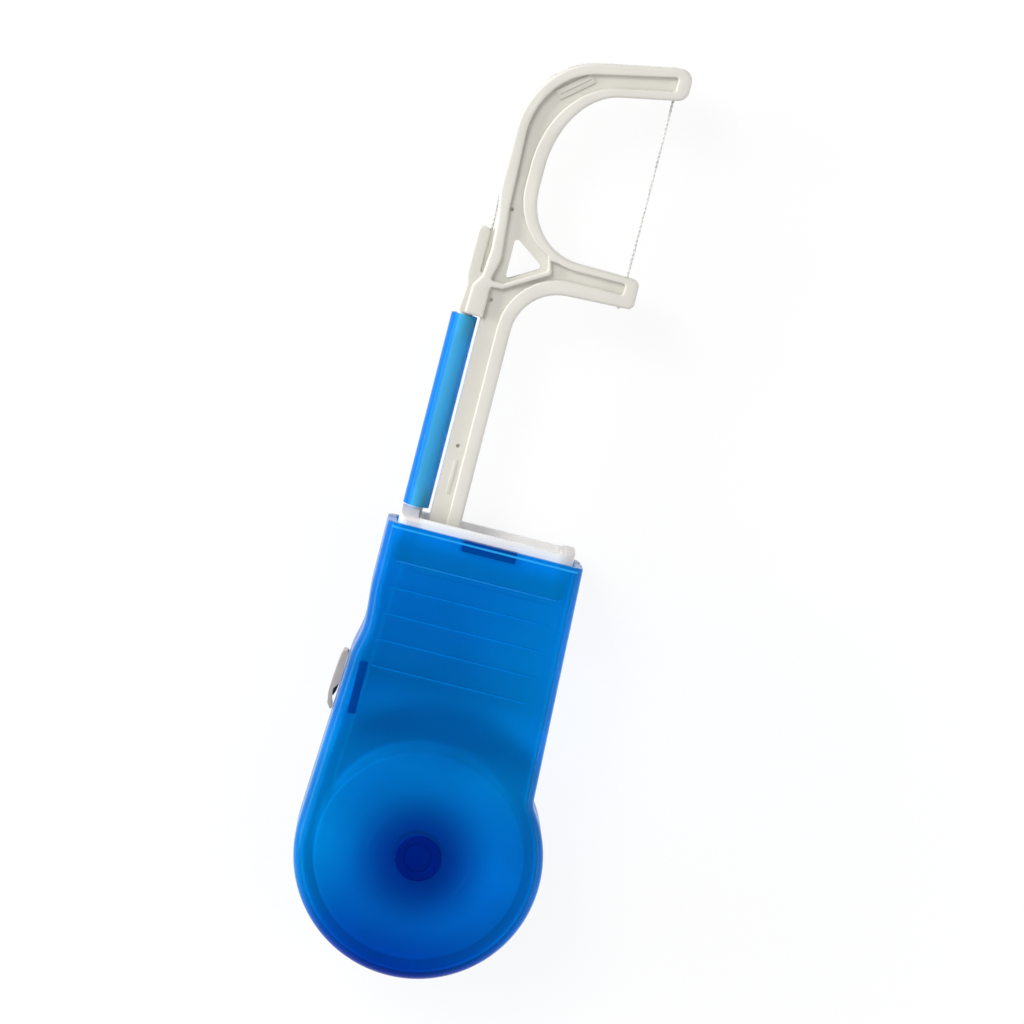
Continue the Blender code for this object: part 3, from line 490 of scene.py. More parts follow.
moulded = {"cloud": (70, 3), "marks": (400, 3, 0.25), "grain": (5200, 2), "bump": (0.18, 0.03)}
stamped = {"cloud": (260, 3), "marks": (6000, 3, 0.04), "bump": (0.2, 0.02), "more": {"Metallic": 1.0}}
opaque = {
    "headWhite": {
        **moulded,
        "color": ((0.57, 0.555, 0.505), (0.635, 0.62, 0.565)),
        "rough": (0.38, 0.50),
    },
    "collarWhite": {
        **moulded,
        "color": ((0.77, 0.76, 0.75), (0.83, 0.82, 0.81)),
        "rough": (0.34, 0.44),
    },
    "bobbinWhite": {
        **moulded,
        "color": ((0.72, 0.73, 0.73), (0.78, 0.79, 0.79)),
        "rough": (0.40, 0.50),
    },
    "flossFibre": {
        "color": ((0.55, 0.55, 0.54), (0.72, 0.72, 0.70)),
        "cloud": (500, 2),
        "marks": (9000, 2, 0.12),
        "rough": (0.45, 0.65),
        "bump": (0.3, 0.004),
        "more": {"Sheen Weight": 0.25},
    },
    "stampedSteel": {
        **stamped,
        "color": ((0.47, 0.41, 0.35), (0.56, 0.50, 0.43)),
        "rough": (0.28, 0.42),
    },
    # near-black: a painted shadow in the cutter's hollow
    "paintedShadowSteel": {
        **stamped,
        "color": ((0.02, 0.018, 0.016), (0.07, 0.055, 0.045)),
        "rough": (0.45, 0.65),
    },
}


def makeOpaque(name):
    # a clouded colour with marks drawn out along Y: the plastic's flow, the floss's filaments or the
    # steel's brushing. The bump follows a finer grain, or the marks where there is none.
    look = opaque[name]
    material, shader, coordinates = startMaterial(name)
    cloud = addNoise(material, coordinates, *look["cloud"], 250)
    scale, detail, squeeze = look["marks"]
    lines = addNoise(material, coordinates, scale, detail, 0, stretch=(1, squeeze, 1))
    grain = addNoise(material, coordinates, *look["grain"], -300) if "grain" in look else lines
    inputs = {
        "Base Color": addBlend(material, cloud, *look["color"]),
        "Roughness": addRange(material, lines, *look["rough"]),
        "Normal": addBump(material, grain, *look["bump"]),
        **look.get("more", {}),
    }
    setInputs(material, shader, inputs)
    return material


def fromSpot(material, x, y, squeeze=1.0):
    # distance from an upright line through a spot, with lengths along Y squeezed
    place = material.node_tree.nodes["Texture Coordinate"].outputs["Object"]
    inputs = {0: place, 1: (x * mm, y * mm, 0)}
    shift = addNode(material, "VectorMath", (-1000, 750), inputs, operation="SUBTRACT")
    inputs = {0: shift.outputs["Vector"], 1: (1, squeeze, 0)}
    flat = addNode(material, "VectorMath", (-800, 750), inputs, operation="MULTIPLY")
    inputs = {0: flat.outputs["Vector"]}
    length = addNode(material, "VectorMath", (-600, 750), inputs, operation="LENGTH")
    return length.outputs["Value"]


def fromPlane(material, axis, level):
    # distance from a plane across one axis, on either side
    place = material.node_tree.nodes["Texture Coordinate"].outputs["Object"]
    split = addNode(material, "SeparateXYZ", (-1000, 750), {"Vector": place})
    inputs = {0: split.outputs[axis], 1: level * mm}
    shift = addNode(material, "Math", (-800, 750), inputs, operation="SUBTRACT")
    size = addNode(material, "Math", (-600, 750), {0: shift.outputs["Value"]}, operation="ABSOLUTE")
    return size.outputs["Value"]


plain = (1, 1, 1)


def paintLightAndShade(material, measure, where, low, high, near=plain, far=plain):
    # painted light and shade: multiplies the colour by one that runs from near to far between two distances
    # in millimetres
    shader = material.node_tree.nodes["Principled BSDF"]
    color = shader.inputs["Base Color"].links[0].from_socket
    distance = measure(material, *where)
    share = addRange(material, distance, 0.0, 1.0, low * mm, high * mm, (-500, 550))
    share.node.interpolation_type = "SMOOTHSTEP"
    inputs = {"Factor": share, "A": (*near, 1), "B": (*far, 1)}
    tint = addNode(material, "Mix", (-350, 550), inputs, data_type="RGBA")
    setInputs(material, shader, {"Base Color": multiply(material, color, tint.outputs["Result"])})


casePlastic = makeClearPlastic("caseBlue")
densePlastic = makeClearPlastic("denseBlue")
ribPlastic = makeClearPlastic("ribBlue")
faintHighlightPlastic = makeClearPlastic("faintHighlightBlue")
highlightPlastic = makeClearPlastic("highlightBlue")
tubePlastic = makeClearPlastic("tubeBlue")
headPlastic = makeOpaque("headWhite")
collarPlastic = makeOpaque("collarWhite")
bobbinPlastic = makeOpaque("bobbinWhite")
# Painted light and shade over the colours. Places are in millimetres: a spot as (x, y), a plane by its axis
# and level.
paintLightAndShade(casePlastic, fromSpot, (0, 0), 3.0, 11.5, near=(1, 0.26, 0.70))  # painted shade round the hub
paintLightAndShade(casePlastic, fromSpot, (0, 4), 17.5, 20.5, far=(1, 1.40, 1.30))  # painted light, lighter beyond the bobbin's edge
paintLightAndShade(casePlastic, fromSpot, (12.5, 30, 0.62), 0, 16, near=(1, 1.40, 1.15))  # painted light on the right side above the bobbin
paintLightAndShade(casePlastic, fromSpot, (-15, -4, 0.4), 0, 8, near=(1, 1.30, 1.0))  # painted light at the left of the bobbin
paintLightAndShade(casePlastic, fromPlane, ("Z", middle), 6.9, 7.7, near=(1, 1.12, 1.25))  # painted light on the side walls
paintLightAndShade(highlightPlastic, fromPlane, ("Y", 47), 1.5, 4.5, far=(0.3, 0.62, 0.74))  # painted highlight, dimmer lower down
paintLightAndShade(tubePlastic, fromPlane, ("X", -15.05), 0.8, 1.3, near=(0.05, 0.55, 1.15))  # painted light: a saturated blue streak down the tube's left side
paintLightAndShade(headPlastic, fromPlane, ("Z", middle), 2.0, 2.6, near=(0.98, 0.98, 0.97))  # painted shade on the sunken web
paintLightAndShade(collarPlastic, fromPlane, ("Y", 49), 2.6, 5.5, far=(0.38, 0.38, 0.38))  # painted shade on the skirt inside the case
paintLightAndShade(collarPlastic, fromPlane, ("X", -13.6), 1.3, 2.3, near=(0.78, 0.75, 0.76))  # painted shade on the seat's front
paintLightAndShade(collarPlastic, fromPlane, ("X", 11), 1.0, 2.2, near=(0.73, 0.71, 0.71))  # painted shade on the rounded right end
paintLightAndShade(bobbinPlastic, fromSpot, (0, 0), 4.0, 13.0, near=(0.45, 0.45, 0.5))  # shaded near the hub
flossFibre = makeOpaque("flossFibre")
stampedSteel = makeOpaque("stampedSteel")
paintedShadowSteel = makeOpaque("paintedShadowSteel")
print("materials made")


# Case
case = {
    "radius": 18.45,
    "top": 47.0,
    "mouth": 47.35,
    "depth": 2 * middle,
    "wall": 1.3,
    "edge": 2.2,
    "edgeSteps": 8,
    "parting": 8.6,
    "leftTop": 16.6,
    "rightTop": 12.9,
    "leftLean": math.radians(3.0),
    "rightLean": math.radians(2.6),
    "shoulder": 3.0,
    "waist": (26.0, 31.8, 38.0),
    "waistDepth": 0.6,
    "roundSteps": 96,
    "lip": 0.18,
}


def caseLeftSide(y):
    return -case["radius"] / math.cos(case["leftLean"]) + y * math.tan(case["leftLean"])


def caseOutline(mouth):
    low, waist, high = case["waist"]
    corner = (-case["leftTop"], mouth)
    flare = (-case["leftTop"], high)
    narrow = (caseLeftSide(waist) + case["waistDepth"], waist)
    hip = (caseLeftSide(low), low)
    lean = case["rightLean"]
    normal = Vector((math.cos(lean), math.sin(lean)))
    upward = Vector((-math.sin(lean), math.cos(lean)))
    offset = normal.dot(Vector((case["rightTop"], case["top"])))
    reach = case["radius"] + case["shoulder"]
    climb = math.sqrt(reach**2 - (offset + case["shoulder"]) ** 2)
    fillet = normal * (offset + case["shoulder"]) + upward * climb
    meet = math.degrees(math.atan2(fillet.y, fillet.x))
    left = 180 - math.degrees(case["leftLean"])
    points = [corner, flare]
    points += ease(flare, narrow, 10) + [narrow]
    points += ease(narrow, hip, 10) + [hip]
    points += arc((0, 0), case["radius"], case["radius"], left, 360 + meet, case["roundSteps"])
    shoulder = case["shoulder"]
    points += arc(fillet, shoulder, shoulder, 180 + meet, 180 + math.degrees(lean), 8)[1:]
    points += [(case["rightTop"], mouth)]
    return points


def addHalfShell(name, low, high, front):
    mouth = case["mouth"] if front else case["top"]
    shell = addPlate(name, caseOutline(mouth), low, high)
    outer, inner = (high, low) if front else (low, high)
    near = 0.01
    pick(shell, "FACE", lambda place: abs(place.z - inner) < near)
    bpy.ops.mesh.delete(type="FACE")
    objectMode()
    pick(shell, "FACE", lambda place: abs(place.y - mouth) < near)
    bpy.ops.mesh.delete(type="FACE")
    objectMode()
    pick(shell, "EDGE", lambda place: abs(place.z - outer) < near)
    objectMode()
    for edge in shell.data.edges:  # the edge along the open mouth stays as it is
        ends = [shell.data.vertices[i].co.y for i in edge.vertices]
        if all(abs(y / mm - mouth) < near for y in ends):
            edge.select = False
    editMode()
    bpy.ops.mesh.bevel(offset=case["edge"] * mm, segments=case["edgeSteps"], profile=0.5)
    objectMode()
    cleanUp(shell)
    useModifier(shell, "SOLIDIFY", thickness=case["wall"] * mm, offset=-1, use_even_offset=True)
    softenEdges(shell, case["lip"], 2, 60)
    return shell


hub = {
    "radius": 3.4,
    "pin": 1.65,
    "endGap": 1.5,
    "seam": 0.02,
    "ringRadius": 7.4,
    "ringWidth": 0.35,
    "ringRise": 0.10,
    "groove": 1.9,
    "grooveWidth": 0.25,
    "grooveDepth": 0.12,
}
grip = {
    "count": 5,
    "pitch": 3.95,
    "width": 1.0,
    "height": 0.16,
    "corner": 0.4,
    "round": 0.12,
    "topSetback": 5.4,
    "sideSetback": 2.5,
    # the edge sizes are for thin pale bars on the ridges: a painted highlight
    "edge": 0.15,
    "edgeSunk": 0.05,
    "edgeHeight": 0.20,
    "edgeShort": 0.3,
}
bead = {
    "left": -5.2,
    "width": 8.1,
    "low": 45.7,
    "high": case["mouth"] - 0.04,
    "corner": 0.2,
    "topSeams": 4,  # its hole runs out through the mouth
    "rise": 0.5,
}
cutterRib = {
    "left": -15.5,
    "width": 1.2,
    "low": 18.5,
    "high": 26.4,
    "corner": 0.25,
    "topSeams": 1,
    "depth": 3.0,
}
setIn = {"drop": 0.04, "edge": 0.08}  # how the bead and the rib lie in the front shell
# a pale band along the mouth's edge: a painted highlight
mouthHighlight = {"low": case["mouth"] - 0.78, "high": case["mouth"] - 0.46, "proud": 0.05, "sunk": 0.08}
ledge = {"width": 1.1, "rise": 1.2}
cutter = {
    "thickness": 0.35,
    "width": 4.0,
    "top": 25.7,
    "length": 8.2,
    "height": 5.2,
    "bossDepth": 0.1,
    "bossMargin": 0.1,
}
collar = {
    "plug": 5.0,
    "rise": 1.6,
    "wall": 1.2,
    "corner": 1.4,
    "leftBlock": 3.1,
    "rightBlock": 1.9,
    "recess": 2.2,
    "recessCorner": 0.7,
    "edge": 0.22,
    "floor": 1.2,
    "seatRise": 0.9,
    "moundBase": 47.9,
    "nubRise": 0.6,
}
collarBottom = case["top"] - collar["plug"]
collarTop = case["top"] + collar["rise"]
collarFloorTop = collarTop - collar["recess"]
seatTop = collarTop + collar["seatRise"]


def makeFrontShell():
    low, face = case["parting"] + gap, case["depth"]
    root = face - case["wall"] / 2
    left, right = -case["leftTop"] + grip["sideSetback"], case["rightTop"] - grip["sideSetback"]
    half, edgeHalf, short = grip["width"] / 2, grip["edge"] / 2, grip["edgeShort"]
    rows = [case["top"] - grip["topSetback"] - i * grip["pitch"] for i in range(grip["count"])]
    shell = addHalfShell("frontShell", low, face, True)
    for y in rows:
        outline = rectangle(left, y - half, right, y + half, grip["corner"], 4)
        ridge = addPlate("ridge", outline, root, face + grip["height"])
        growOn(shell, softenEdges(ridge, grip["round"], 3, 60))
    # thin pale bars along each ridge's upper edge: a painted highlight
    base, rise = face - grip["edgeSunk"], face + grip["edgeHeight"]
    edges = []
    for y in rows:
        edge = y + half - grip["round"]
        outline = rectangle(left + short, edge - edgeHalf, right - short, edge + edgeHalf)
        edges.append(addPlate("gripHighlight", outline, base, rise))
    inner, top = hub["ringRadius"], face + hub["ringRise"]
    outer = inner + hub["ringWidth"]
    ring = [(inner, root, 0), (inner, top, 0.1), (outer, top, 0.1), (outer, root, 0)]
    growOn(shell, addTurned("ring", rounded(ring, 3), 96))
    hole = addRod("hole", hub["radius"] + hub["seam"], low - past, face + past, (0, 0), sides=96)
    snapHole = addPlate("snapHole", setInOutline(bead, hub["seam"]), low, face + past)
    ribHole = addPlate("ribHole", setInOutline(cutterRib, hub["seam"]), low, face + past)
    cutAway(shell, hole, snapHole, ribHole)
    finishPiece(shell, "cover", "blue_plastic", casePlastic, "front_shell")
    makeHubBoss(low)
    upper = face - setIn["drop"]
    snap = addPlate("snapBead", setInOutline(bead), face - case["wall"] - bead["rise"], upper)
    rib = addPlate("cutterRib", setInOutline(cutterRib), face - cutterRib["depth"], upper)
    for piece in (snap, rib):
        softenEdges(piece, setIn["edge"], 2, 60)
        finishPiece(piece, "cover", "blue_plastic", ribPlastic)
    # the first bar and the mouth band take the brighter painted highlight, the other bars the fainter one
    first, *others = edges
    band = addPlate("mouthHighlight", mouthHighlightBand(), mouthHighlight["low"], mouthHighlight["high"], "Y")
    finishPiece(joined(first, band), "cover", "blue_plastic", highlightPlastic)
    finishPiece(joined(*others), "cover", "blue_plastic", faintHighlightPlastic)


def mouthHighlightBand():
    # painted highlight: a thin band over the face and round its two long edges, across the case
    edge = case["edge"]
    level = case["depth"] - edge
    right, left = (case["rightTop"] - edge, level), (edge - case["leftTop"], level)
    outer, inner = edge + mouthHighlight["proud"], edge - mouthHighlight["sunk"]
    points = arc(right, outer, outer, 50, 90, 6) + arc(left, outer, outer, 90, 130, 6)
    return points + arc(left, inner, inner, 130, 90, 6) + arc(right, inner, inner, 90, 50, 6)


def setInOutline(piece, seam=0.0):
    left, right = piece["left"] - seam, piece["left"] + piece["width"] + seam
    top = piece["high"] + piece["topSeams"] * seam
    return rectangle(left, piece["low"] - seam, right, top, piece["corner"])


def makeHubBoss(low):
    # the solid boss that carries the pin's socket, with a shallow ring on its face
    pinTop = case["depth"] - case["wall"] - hub["endGap"] + gap
    face, groove = case["depth"] + hub["seam"], hub["groove"]
    grooveFloor, grooveEdge = face - hub["grooveDepth"], groove + hub["grooveWidth"]
    profile = [
        (hub["pin"] + gap, low, 0.1),
        (hub["radius"], low, 0.2),
        (hub["radius"], face, 0.15),
        (grooveEdge, face, 0.06),
        (grooveEdge, grooveFloor, 0.06),
        (groove, grooveFloor, 0.06),
        (groove, face, 0.06),
        (0.02, face, 0),
        (0.02, pinTop, 0),
        (hub["pin"] + gap, pinTop, 0.1),
    ]
    boss = addTurned("hubBoss", rounded(profile, 3), 96)
    finishPiece(boss, "cover", "blue_plastic", densePlastic)


def makeBackShell():
    wall = case["wall"]
    shell = addHalfShell("backShell", 0, case["parting"], False)
    root = wall / 2
    post = addRod("post", hub["radius"], root, case["parting"], (0, 0), sides=64)
    pin = addRod("pin", hub["pin"], middle / 2, case["depth"] - wall - hub["endGap"], (0, 0))
    softenEdges(pin, 0.25, 2, 60)
    left, right, top = -case["leftTop"] + 2 * wall, case["rightTop"] - 2 * wall, collarBottom - gap
    shelf = addBlock("ledge", left, top - ledge["width"], right, top, root, wall + ledge["rise"])
    reach = cutter["thickness"] / 2 + gap
    slotBottom, slotTop = cutter["top"] - reach, cutter["top"] + reach
    inside = caseLeftSide(cutter["top"]) + wall
    low = cutter["height"] - cutter["width"] / 2 - gap
    high = cutter["height"] + cutter["width"] / 2 + gap
    margin = cutter["bossMargin"]
    face, foot = inside + cutter["bossDepth"], cutter["top"] - cutter["length"]
    boss = addBlock("boss", inside - wall / 2, foot, face, slotTop + margin, root, high + margin)
    slot = addBlock("slot", inside - 2 * wall, slotBottom, face - margin, slotTop, low, high)
    growOn(shell, post, pin, shelf, boss)
    cutAway(shell, slot)
    finishPiece(shell, "case", "blue_plastic", casePlastic, "back_shell")


makeFrontShell()
makeBackShell()
print("case made")


# Bobbin with its floss
bobbin = {
    "radius": 15.5,
    "barrel": 5.5,
    "flange": 1.1,
    "dish": 0.7,
    "faceDish": 1.0,
    "ring": 1.5,
    "pack": 14.0,
    "thread": 0.3,
    "turns": 26,
    "crossTurns": 5,
}
bobbinLow = case["wall"] + gap
bobbinHigh = case["depth"] - case["wall"] - gap
packLow = bobbinLow + bobbin["flange"] + bobbin["dish"] / 2 + gap
packHigh = bobbinHigh - bobbin["flange"] - bobbin["dish"] / 2 - gap


def makeBobbin():
    bore = hub["radius"] + gap
    ring = bore + bobbin["ring"]
    top, dish, flange, radius = bobbinHigh, bobbin["dish"], bobbin["flange"], bobbin["radius"]
    barrel, faceDish = bobbin["barrel"], bobbin["faceDish"]
    upper = [
        (bore, top - faceDish, 0.1),
        (ring, top - faceDish, 2.5),
        (radius - 3, top, 4.0),
        (radius, top - 0.1, 0.5),
        (radius, top - flange, 0.4),
        (barrel + dish, top - flange - dish / 2, 1.0),
        (barrel, top - flange - dish, 0.2),
    ]
    lower = [(r, top + bobbinLow - z, round_) for r, z, round_ in reversed(upper)]
    spool = addTurned("spool", rounded(upper + lower, 4), 96)
    finishPiece(spool, "spool", "white_plastic", bobbinPlastic, "bobbin")


def helix(radius, low, high, turns, start=0.0, perTurn=48, wobble=0.0):
    points = []
    count = int(turns * perTurn)
    for i in range(count + 1):
        angle = start + math.copysign(1, turns) * 2 * math.pi * i / perTurn
        height = low + (high - low) * i / count
        shake = wobble * math.sin(5.3 * angle) * math.sin(0.7 * angle + 1.1)
        points.append(Vector((radius * math.cos(angle), radius * math.sin(angle), height + shake)))
    return points


def makeWinding():
    inner, outer = bobbin["barrel"] + bobbin["dish"] + gap, bobbin["pack"]
    core = [(inner, packHigh, 0.2), (outer, packHigh, 0.6), (outer, packLow, 0.6), (inner, packLow, 0.2)]
    pack = addTurned("flossPack", rounded(core, 4), 96)
    finishPiece(pack, "spool", "floss_thread", flossFibre, "floss_pack")
    thread, turns = bobbin["thread"], bobbin["crossTurns"]
    low, high = packLow + thread, packHigh - thread
    lay = outer + thread * 0.55
    dense = helix(lay, low, high, bobbin["turns"], wobble=0.05)
    across = helix(lay + thread * 0.6, low, high, turns, 0.4, 64)
    back = helix(lay + thread * 0.9, high, low, turns, 1.9, 64)
    wound = addThread("flossTurns", [dense, across, back], thread / 2, 1)
    finishPiece(wound, "spool", "floss_thread", flossFibre, "floss_turns")


makeBobbin()
makeWinding()
print("bobbin made")


# Floss tube and collar
tube = {
    "radius": 1.95,
    "wall": 0.5,
    "length": 29.1,
    "x": -13.1,
    "spigot": 3.0,
    "round": 0.12,
    "threadX": -12.75,
    "hole": 0.45,
}
tubeLow = seatTop + gap
tubeHigh = tubeLow + tube["length"]


def makeTube():
    outer, inner = tube["radius"], tube["radius"] - tube["wall"]
    profile = rectangle(inner, tubeLow, outer, tubeHigh, tube["round"], 3)
    pipe = addTurned("flossTube", profile, 64, (tube["x"], middle))
    finishPiece(pipe, "case", "tube_plastic", tubePlastic, "floss_tube")


neck = {
    "thickness": 5.5,
    "web": 3.9,
    "left": -10.7,
    "right": -6.0,
    "rim": 2.1,
    "fillet": 7.0,
    "tang": 5.6,
    "edge": 0.45,
    "barbRise": 0.5,
    "barbWidth": 1.2,
    "barbCorner": 0.2,
    "railHeight": 5.4,
}
headFront = middle + neck["thickness"] / 2
headRear = middle - neck["thickness"] / 2
tangFoot = collarFloorTop - neck["tang"]


def addCeiling(name, left, right, top, base):
    # what is cut away over a part of the collar, up to an arch across its depth
    fit = case["wall"] + gap
    half = middle - fit
    beyond = top + 5
    outline = [(beyond, middle + half + 2), (beyond, middle - half - 2), (base, middle - half - 2)]
    outline += arc((base, middle), top - base, half, -90, 90, 24)
    outline += [(base, middle + half + 2)]
    return addPlate(name, outline, left, right, "X")


def makeCollar():
    fit, wall = case["wall"] + gap, collar["wall"]
    left, right = -case["leftTop"] + fit, case["rightTop"] - fit
    rear, front = fit, case["depth"] - fit
    seatRight, nubLeft = left + collar["leftBlock"], right - collar["rightBlock"]
    nubTop = collarTop + collar["nubRise"]
    corner, half = collar["recessCorner"], past / 2
    rearInside, frontInside = rear + wall, front - wall
    block = rectangle(left, rear, right, front, collar["corner"], 8)
    above = rectangle(seatRight - half, rear - past, nubLeft + half, front + past)
    recess = rectangle(seatRight, rearInside, nubLeft, frontInside, corner)
    hollow = rectangle(seatRight, rearInside, right - wall, frontInside, corner)
    tray = addPlate("collarTray", block, collarBottom, seatTop + past, "Y")
    cutAway(
        tray,
        addCeiling("overSeat", left - past, seatRight, seatTop, collar["moundBase"]),
        addPlate("overTray", above, collarTop, seatTop + 2 * past, "Y"),
        addCeiling("overNub", nubLeft, right + past, nubTop, collarTop - hub["seam"]),
        addPlate("recess", recess, collarFloorTop, seatTop + 10 * past, "Y"),
        addPlate("hollow", hollow, collarBottom - past, collarFloorTop - collar["floor"], "Y"),
    )
    softenEdges(tray, collar["edge"], 3, 50)
    spigotRadius, spigotTop = tube["radius"] - tube["wall"] - gap, seatTop + tube["spigot"]
    spigot = addRod("spigot", spigotRadius, collarBottom + wall, spigotTop, (tube["x"], middle), "Y")
    way = rectangle(neck["left"] - gap, headRear - gap, neck["right"] + gap, headFront + gap, 0.3)
    slot = addPlate("slot", way, collarBottom, collarTop, "Y")
    beadLeft, beadRight = bead["left"] - gap, bead["left"] + bead["width"] + gap
    beadLow, beadHigh = bead["low"] - gap, bead["high"] + hub["seam"]
    groove = addBlock("groove", beadLeft, beadLow, beadRight, beadHigh, front - bead["rise"], front + past)
    ends = (collarBottom - past, spigotTop + past)
    threadWay = addRod("threadWay", tube["hole"], *ends, (tube["threadX"], middle), "Y", 24)
    growOn(tray, spigot)
    cutAway(tray, slot, groove, threadWay)
    finishPiece(tray, "case", "collar_plastic", collarPlastic, "collar")


makeTube()
makeCollar()
print("collar and tube made")


# Neck and forked head
finger = {
    "left": -14.25,
    "width": 1.85,
    "height": 7.6,
    "slot": 0.42,
    "floorRise": 1.0,
    "thickness": 4.2,
    "round": 0.75,
    "floor": (-0.9, 1.75),
    "floorWidth": 1.2,
    "floorSunk": 0.5,
    "floorShort": 0.4,
}
fork = {
    "back": -7.1,
    "backWidth": 5.5,
    "rise": 5.6,
    "gap": 26.8,
    "armEnd": 10.6,
    "armWidth": 4.5,
    "slope": 0.195,
    "droop": 0.2,
    "upperTip": 1.8,
    "lowerTip": 0.9,
    "rootDrop": 0.7,
    "upperBend": 9.5,
    "upperRise": 12.3,
    "upperDrop": 1.6,
    "lowerBend": 8.6,
    "lowerRise": 9.2,
    "outerBend": 11.6,
    "outerHeight": 12.5,
    "outerDrop": 10.0,
}
channel = {
    "outerRim": 1.6,
    "innerRim": 2.1,
    "armRim": 1.35,
    "lowerArmRim": 1.1,
    "footRim": 1.8,
    "tipRim": 2.0,
    "fillet": 9.0,
    "corner": 0.4,
    "ledge": 0.42,
    "strut": 1.15,
    "strutLeftDrop": 0.15,
    "pointWeb": 0.7,
    "pointRib": 0.65,
    "lip": 0.28,
}
triangle = {"left": -8.7, "width": 5.1, "height": 6.6, "pointRise": 3.0, "drop": 4.9, "corner": 0.45}
railLow = tubeHigh + gap
fingerLow = railLow + neck["railHeight"]
fingerHigh = fingerLow + finger["height"]
slotFloor = fingerLow + finger["floorRise"]
forkFloor = fingerLow + fork["rise"]
forkTop = forkFloor + fork["gap"]
armUnder = forkFloor - fork["armWidth"]
headOuter = fork["back"] - fork["backWidth"]
triangleLow = forkFloor - triangle["drop"]
triangleRight = triangle["left"] + triangle["width"]
trianglePoint = triangleLow + triangle["pointRise"]
railEdge = [  # the left edge of the head's outer rim, from the tube up past the finger
    (-13.3, railLow, 0),
    (-13.15, fingerLow - 1.0, 1.5),
    (-12.1, fingerLow + 0.6, 1.5),
    (-11.75, forkFloor - 1.0, 4.0),
    (-12.0, forkFloor + 3.5, 8.0),
    (-12.7, forkFloor + 8.0, 8.0),
]


def forkEdge(inset, topInset, footInset):
    upper = (fork["back"] + fork["upperBend"], forkFloor + fork["upperRise"])
    lower = (fork["back"] + fork["lowerBend"], forkFloor + fork["lowerRise"])
    height = forkTop - fork["upperDrop"] - upper[1]
    points = arc(upper, fork["upperBend"] + inset, height + topInset, 98, 180, 32)
    points += arc(lower, fork["lowerBend"] + inset, fork["lowerRise"] + footInset, 180, 270, 30)
    return points


def innerRimEdge(x):
    share = (x - fork["back"] - fork["lowerBend"]) / (fork["lowerBend"] + channel["innerRim"])
    height = fork["lowerRise"] + channel["lowerArmRim"]
    return forkFloor + fork["lowerRise"] - height * math.sqrt(1 - share**2)


def outerEdge(inset):
    center = (headOuter + fork["outerBend"], forkTop - fork["outerDrop"])
    return arc(center, fork["outerBend"] - inset, fork["outerHeight"] - inset, 180, 100.3, 32)


def headOutline():
    bendTop = outerEdge(0)[-1]
    tipTop = bendTop[1] + fork["slope"] * (fork["armEnd"] - bendTop[0])
    inner = forkEdge(0, 0, 0)
    tipUnder = inner[0][1] + fork["slope"] * (fork["armEnd"] - inner[0][0])
    corners = [(neck["left"], tangFoot, 0), (neck["left"], railLow, 0)]
    corners += railEdge
    corners += sharp(outerEdge(0))
    end, upperTip, lowerTip = fork["armEnd"], fork["upperTip"], fork["lowerTip"]
    corners += [(end, tipTop, upperTip), (end, tipUnder, upperTip)]
    corners += sharp(inner)
    corners += [
        (end, forkFloor - fork["droop"], lowerTip),
        (end, armUnder, lowerTip),
        (neck["right"], armUnder - fork["rootDrop"], neck["fillet"]),
        (neck["right"], tangFoot, 0),
    ]
    return rounded(corners, 12)


def fingerOutline():
    left, right = finger["left"], finger["left"] + finger["width"]
    inside = right + finger["slot"] + 0.6
    corners = [
        (inside, railLow, 0),
        (left, railLow, 0.6),
        (left + 0.35, fingerLow - 1.2, 2.0),
        (left, fingerLow + 0.3, 2.0),
        (left, fingerHigh, 0.8),
        (right, fingerHigh, 0.8),
        (right, slotFloor, 0.25),
        (inside, slotFloor, 0),
    ]
    return rounded(corners, 6)


def headChannel():
    outer = outerEdge(channel["outerRim"])
    inner = forkEdge(channel["innerRim"], channel["armRim"], channel["lowerArmRim"])
    end = fork["armEnd"] - channel["tipRim"]
    lift = channel["outerRim"] - channel["armRim"]
    outerTip = outer[-1][1] + fork["slope"] * (end - outer[-1][0]) + lift
    innerTip = inner[0][1] + fork["slope"] * (end - inner[0][0])
    slope = triangle["pointRise"] / triangle["width"]
    foot = triangleLow - channel["ledge"] * math.hypot(1, slope)
    rib = triangleRight + channel["pointWeb"]
    ribFoot = foot + slope * (rib - triangle["left"])
    shoulderX = triangleRight + 0.15
    corner = channel["corner"]
    corners = [(-10.75, foot, corner), (-9.95, forkFloor - 2, 4.0), (-10.65, forkFloor + 5.5, 9.0)]
    corners += sharp(outer)
    corners += [(end, outerTip, corner), (end, innerTip, corner)]
    corners += [(x, y, 0) for x, y in inner if x < shoulderX or y > forkFloor + fork["lowerRise"]]
    corners += [
        (shoulderX, innerRimEdge(shoulderX), 0),
        (rib, ribFoot, 0.5),
        (triangle["left"], foot, 0.3),
    ]
    return rounded(corners, 8)


